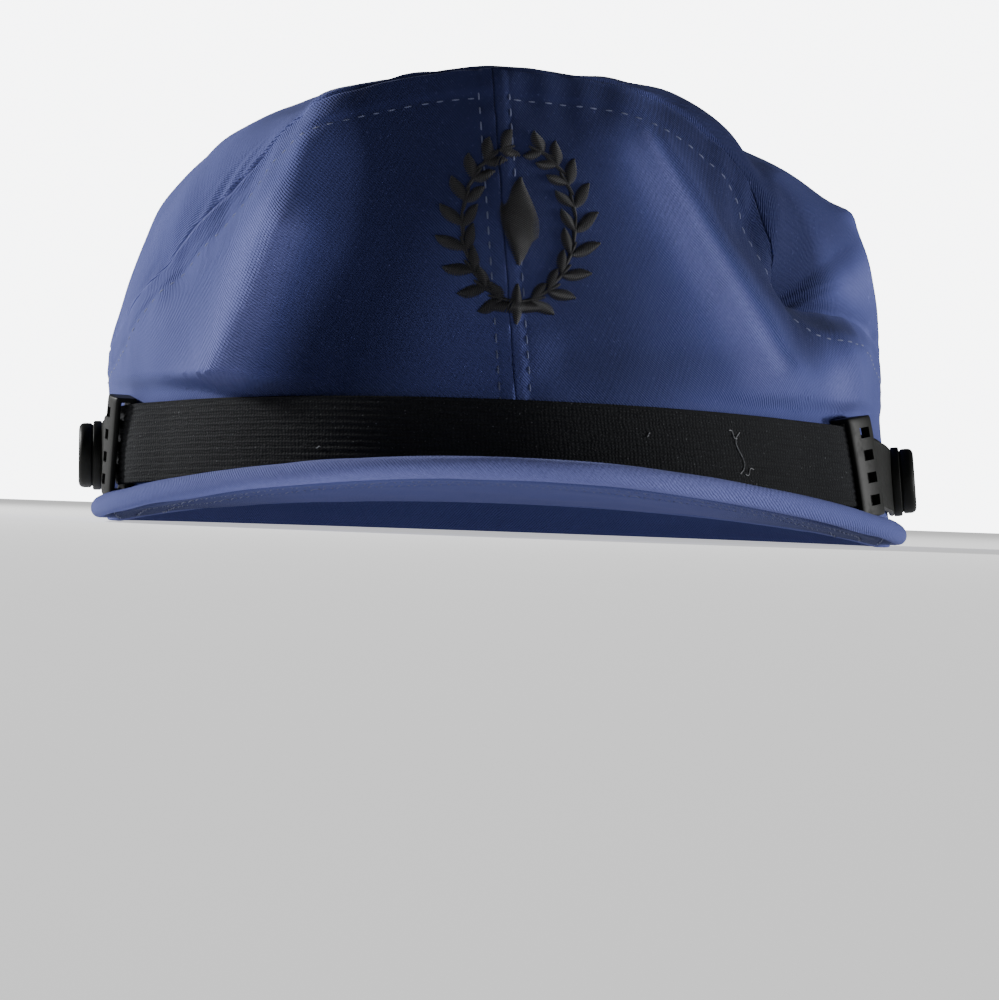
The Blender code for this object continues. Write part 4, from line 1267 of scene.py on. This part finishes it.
def threads_piece(name, centres, along, out, lengths, radius, look, slot):
    """Rings of points round centre + along * t + out * lift, thinner at the ends."""
    t = np.linspace(-1.0, 1.0, THREAD_RINGS)
    turn = np.linspace(0.0, 2.0 * math.pi, THREAD_SIDES + 1)
    across = np.cross(out, along)
    run = (0.5 * lengths[:, None] * t)[..., None]
    lift = (radius * (0.7 - 2.2 * t ** 2))[:, None]
    middle = centres[:, None] + run * along[:, None] + lift * out[:, None]
    thick = (radius * np.sqrt(1.0 - 0.8 * t ** 2))[:, None, None]
    ring = (np.cos(turn)[:, None] * across[:, None, None]
            + np.sin(turn)[:, None] * out[:, None, None])
    points = middle[:, :, None] + thick * ring
    place = paired(run, radius * turn)
    index = np.arange(len(centres) * THREAD_RINGS * THREAD_SIDES)
    index = index.reshape(-1, THREAD_RINGS, THREAD_SIDES)
    index = np.concatenate([index, index[:, :, :1]], axis=2)
    lids = np.concatenate([index[:, 0, :-1], index[:, -1, :-1][:, ::-1]])
    lid_place = np.concatenate([place[:, 0, :-1], place[:, -1, :-1][:, ::-1]])
    finish_piece(name, points[:, :, :-1].reshape(-1, 3), [tiles(index).reshape(-1, 4), lids],
                 [tiles(place), lid_place], look, (), 80.0)


def read_grid(grid, row, column):
    """Values of a grid between its points, in equal shares of the four nearest."""
    row = np.clip(row, 0, grid.shape[0] - 1.001)
    column = np.clip(column, 0, grid.shape[1] - 1.001)
    low_row, low_column = row.astype(int), column.astype(int)
    part_row = (row - low_row)[:, None]
    part_column = (column - low_column)[:, None]
    lower, upper = (grid[level, low_column] * (1 - part_column)
                    + grid[level, low_column + 1] * part_column
                    for level in (low_row, low_row + 1))
    return lower * (1 - part_row) + upper * part_row


def on_wall(name, angle, height):
    """Outer points and directions out of the finished wall, at angles and heights."""
    angles, rim, top, outer, normals = sheets[name]
    column = np.interp(angle, angles, np.arange(len(angles)))
    low, high = np.interp(angle, angles, rim), np.interp(angle, angles, top)
    row = np.interp((height - low) / (high - low), WALL_SHARES, np.arange(WALL_ROWS))
    return read_grid(outer, row, column), read_grid(normals, row, column)


def sew(points, normals, seed):
    """Centres, directions and lengths of stitches at even steps along a line of points."""
    chosen = np.random.default_rng(seed)
    run = np.concatenate([[0.0], np.cumsum(np.linalg.norm(np.diff(points, axis=0), axis=1))])
    middle = np.arange(0.5 * STITCH_PITCH, run[-1] - 0.5 * STITCH_PITCH, STITCH_PITCH)
    middle = middle + chosen.normal(0.0, STITCH_WANDER, len(middle))

    def read(values, place):
        return np.stack([np.interp(place, run, values[:, axis]) for axis in range(3)], axis=-1)

    reach = 0.4 * STITCH_LENGTH
    along = unit(read(points, middle + reach) - read(points, middle - reach))
    out = square_to(read(normals, middle), along)
    return read(points, middle), along, out, STITCH_LENGTH * chosen.uniform(0.85, 1.1, len(middle))


def below_seam(angle, band):
    """The line that runs beside the top seam: each seam point moved square to the seam."""
    turn = np.radians(angle)
    speed = np.hypot(HALF_WIDTH * np.cos(turn), HALF_LENGTH * np.sin(turn))
    steps = np.abs(np.diff(turn)) * 0.5 * (speed[1:] + speed[:-1])
    run = np.concatenate([[0.0], np.cumsum(steps)])
    seam = section_values(angle)[0] * CROWN_HEIGHT - SEAM_FLAT
    slope = np.gradient(seam, run)
    size = np.sqrt(1.0 + slope ** 2)
    moved_run, moved = run + band * slope / size, seam - band / size
    away = np.hypot(moved_run[:, None] - run[::4], moved[:, None] - seam[::4]).min(axis=1)
    kept = (away > 0.985 * band) & (moved_run > 0.002) & (moved_run < run[-1] - 0.002)
    return np.interp(moved_run[kept], run, angle), moved[kept]


def seam_lines(name, side, seed):
    """The stitches of one wall: beside both centre seams, under the top seam and over the rim."""
    start = front_seam_angle
    lean_front = section_values(np.array([start]))[1][0]
    front_z = np.linspace(STRAP_TOP - 0.002, section_values(start)[0] * CROWN_HEIGHT - 0.003, 200)
    reach = 1.0 - lean_front * (front_z / CROWN_HEIGHT) ** LEAN_POWER
    front_angle = start + side * np.degrees(CENTRE_BAND / (HALF_WIDTH * reach))
    back_z = np.linspace(0.006, section_values(180.0)[0] * CROWN_HEIGHT - 0.003, 100)
    back_angle = side * (180.0 - np.degrees(CENTRE_BAND / (HALF_WIDTH * 0.97)))
    hem_angle = side * np.linspace(*HEM_STITCHES, 400)
    lines = ((front_angle, front_z), (back_angle + 0.0 * back_z, back_z),
             below_seam(np.linspace(start + side * 1.0, side * 178.5, 1500), TOP_BAND),
             (hem_angle, rim_height(hem_angle) + HEM_BAND))
    sewn = [sew(*on_wall(name, *line), seed + number) for number, line in enumerate(lines)]
    sewn[2] = (sewn[2][0] - TOP_SINK * sewn[2][2],) + sewn[2][1:]
    threads_piece(name + "_stitches", *(np.concatenate(part) for part in zip(*sewn)),
                  STITCH_RADIUS, blue_thread, "blue_twill")


seam_lines("wall_left", 1, 101)
seam_lines("wall_right", -1, 111)

# %% [markdown]
# The peak has a row of stitches in the groove behind its roll and two more rows across it, on both
# faces. They stand on the columns of the peak's own grid, at a fixed distance from the edge.

# %% Stitches of the peak
peak_normals = grid_normals(peak_points)


def peak_line(from_edge, top_side):
    """The line on the peak that runs at a fixed distance behind its front edge."""
    side = slice(UNDER_POINTS + ROLL_POINTS, None) if top_side else slice(0, UNDER_POINTS)
    grid, normals = peak_points[:, side], peak_normals[:, side]
    away = np.linalg.norm((grid - peak_edge[:, None])[..., :2], axis=-1)
    place = np.argmin(np.abs(away - from_edge), axis=1)
    kept = away.max(axis=1) > from_edge + 0.003
    rows = np.arange(len(grid))[kept]
    return grid[rows, place[kept]], normals[rows, place[kept]]


peak_rows = [sew(*peak_line(from_edge, top_side), 131 + number)
             for number, from_edge in enumerate((GROOVE_BACK,) + PEAK_STITCH_ROWS)
             for top_side in (False, True)]
threads_piece("peak_stitches", *(np.concatenate(part) for part in zip(*peak_rows)),
              STITCH_RADIUS, blue_thread, "blue_twill")

# %% [markdown]
# ## Embroidered motif
# A black embroidered badge sits on the front, over the centre seam. This one is a generic design:
# two laurel sprays round a plain lozenge. Satin stitch fills each shape with threads that lie side
# by side, so every leaf is a fan of threads whose lengths follow the leaf's outline.

# %% Embroidered motif
MOTIF_MIDDLE = (0.0020, 0.0620)
MOTIF_THREAD = 0.00024
MOTIF_SPACING = 0.00040
MOTIF_STEP = 0.0006
MOTIF_LEAVES = 9
MOTIF_OVAL = np.array((0.0112, 0.0158))
LEAF_START = -76.0
LEAF_TURN = 18.0
LEAF_LENGTH = 0.0074
LEAF_TAPER = 0.00045  # shorter by this much for each leaf away from the fourth
MOTIF_PADDING = 0.06  # share of a thread's length, which makes wide shapes thicker
MOTIF_BARS = (
    # from, to, width and point of the lozenge, the tie and its tail
    ((0.0, -0.0092), (0.0, 0.0100), 0.0088, 1.15),
    ((-0.0062, -0.0168), (0.0062, -0.0168), 0.0030, 0.5),
    ((0.0, -0.0205), (0.0, -0.0122), 0.0026, 0.6),
)


def satin(start, end, width, point=0.7):
    """Threads across a leaf from start to end, as wide as width * sin(pi * share) ^ point."""
    start, end = np.array(start), np.array(end)
    run = end - start
    size = np.linalg.norm(run)
    share = np.linspace(0.05, 0.96, max(3, int(size / MOTIF_SPACING)))
    side = np.array([-run[1], run[0]]) / size
    slant = unit(0.9 * side + 0.4 * run / size)
    wide = width * np.sin(math.pi * share) ** point
    return start + share[:, None] * run, np.broadcast_to(slant, (len(share), 2)), wide


def motif_threads():
    """Centres, directions and lengths of all threads, in metres across and up from the middle."""
    made = []
    for side in (-1, 1):
        for number in range(MOTIF_LEAVES):
            turn = math.radians(LEAF_START + LEAF_TURN * number)
            outward = np.array([side * math.cos(turn), math.sin(turn)])
            stem = MOTIF_OVAL * outward
            ahead = np.array([-side * math.sin(turn), math.cos(turn)])
            size = LEAF_LENGTH - LEAF_TAPER * abs(number - 3)
            made.append(satin(stem, stem + size * (0.66 * ahead + 0.62 * outward), 0.0030))
            made.append(satin(stem, stem + 0.80 * size * (0.78 * ahead - 0.55 * outward), 0.0027))
            made.append(satin(stem - 0.0024 * ahead, stem + 0.0030 * ahead, 0.0011, 0.3))
    made += [satin(*bar) for bar in MOTIF_BARS]
    return [np.concatenate(part) for part in zip(*made)]


def on_front(across, height):
    """Points and outward directions of the front wall at places seen from the front."""
    lean = section_values(np.array([0.0]))[1][0]
    share = (height - HEM) / CROWN_HEIGHT
    reach = 1.0 - lean * share ** LEAN_POWER
    angle = np.degrees(np.arcsin((across + CROWN_SHIFT * share) / (HALF_WIDTH * reach)))
    left_points, left_normals = on_wall("wall_left", angle, height)
    right_points, right_normals = on_wall("wall_right", angle, height)
    on_left = (angle > front_seam_angle)[:, None]
    return (np.where(on_left, left_points, right_points),
            np.where(on_left, left_normals, right_normals))


def make_motif():
    """Lay the flat design on the wall: each thread turns with the cloth under it."""
    flat, heading, lengths = motif_threads()
    spots = flat + MOTIF_MIDDLE
    centres, out = on_front(*spots.T)
    ahead, _ = on_front(*(spots + MOTIF_STEP * heading).T)
    behind, _ = on_front(*(spots - MOTIF_STEP * heading).T)
    padding = 0.5 * MOTIF_THREAD + MOTIF_PADDING * lengths[:, None]
    threads_piece("front_motif_embroidery", centres + padding * out,
                  square_to(ahead - behind, out), out, lengths, MOTIF_THREAD, embroidery_thread,
                  "black_webbing")


make_motif()

# %% [markdown]
# ## Floor and light
# One light stands behind the cap on the left and one beside it on the right, so both graze the
# folds. A weak low light fills the front. The background is a white world that only the camera
# sees. The floor is pale, and its bounce lights the underside of the peak.

# %% Floor and light
FLOOR_HALF = 6.0
FLOOR_WHITE = (0.88, 0.88, 0.88, 1.0)
FLOOR_GLOW = 0.75
BACKGROUND_WHITE = 7.0
WORLD_LIGHT = 0.03
WORLD_COLOUR = (0.97, 0.98, 1.0, 1.0)
LIGHT_AIM = (0.0, 0.0, 0.05)
LIGHT_DISTANCE = 1.4
LIGHTS = (
    # name, degrees round the cap from the front towards +X, height, width, height of face, watts
    ("left_softbox", -110.0, 0.62, 0.24, 0.18, 46.0),
    ("right_softbox", 92.0, 0.08, 0.26, 0.14, 21.0),
    ("front_fill", 48.0, 0.05, 0.40, 0.09, 4.2),
)


def paper_finish(name, colour, glow):
    """Matt paper with a faint mottle, and a little light of its own so that it reads as white."""
    finish = Finish(name, Specular_IOR_Level=0.1, Emission_Strength=glow)
    place = finish.node("ShaderNodeTexCoord", output=3)
    mottle = finish.noise(place, 0.05, 3.0, 0.6)
    shade = finish.mix(mottle, colour, tuple(0.97 * part for part in colour[:3]) + (1.0,))
    return finish.wear(Base_Color=shade, Emission_Color=shade, Roughness=0.85 + 0.1 * mottle)


def area_light(name, turn, height, width, tall, power):
    """A soft rectangular light that looks at the cap."""
    data = bpy.data.lights.new(name, "AREA")
    data.shape = "RECTANGLE"
    data.size = width
    data.size_y = tall
    data.energy = power
    angle = math.radians(turn)
    place = Vector((LIGHT_DISTANCE * math.sin(angle), -LIGHT_DISTANCE * math.cos(angle), height))
    aim = (Vector(LIGHT_AIM) - place).to_track_quat("-Z", "Y")
    linked(name, data).matrix_world = Matrix.Translation(place) @ aim.to_matrix().to_4x4()


floor_corners = [(x * FLOOR_HALF, y * FLOOR_HALF, 0.0)
                 for x, y in ((-1, -1), (1, -1), (1, 1), (-1, 1))]
floor = plain_object("floor", floor_corners, [(0, 1, 2, 3)])
floor.data.materials.append(paper_finish("floor_paper", FLOOR_WHITE, FLOOR_GLOW))
for light in LIGHTS:
    area_light(*light)

world = bpy.data.worlds.new("studio")
world.use_nodes = True
background = world.node_tree.nodes["Background"].inputs
background["Color"].default_value = WORLD_COLOUR
path = world.node_tree.nodes.new("ShaderNodeLightPath")
seen = Wire(world.node_tree, path.outputs["Is Camera Ray"])
plug(world.node_tree, seen * (BACKGROUND_WHITE - WORLD_LIGHT) + WORLD_LIGHT,
     background["Strength"])
bpy.context.scene.world = world
print("lights:", [light.name for light in bpy.data.lights])
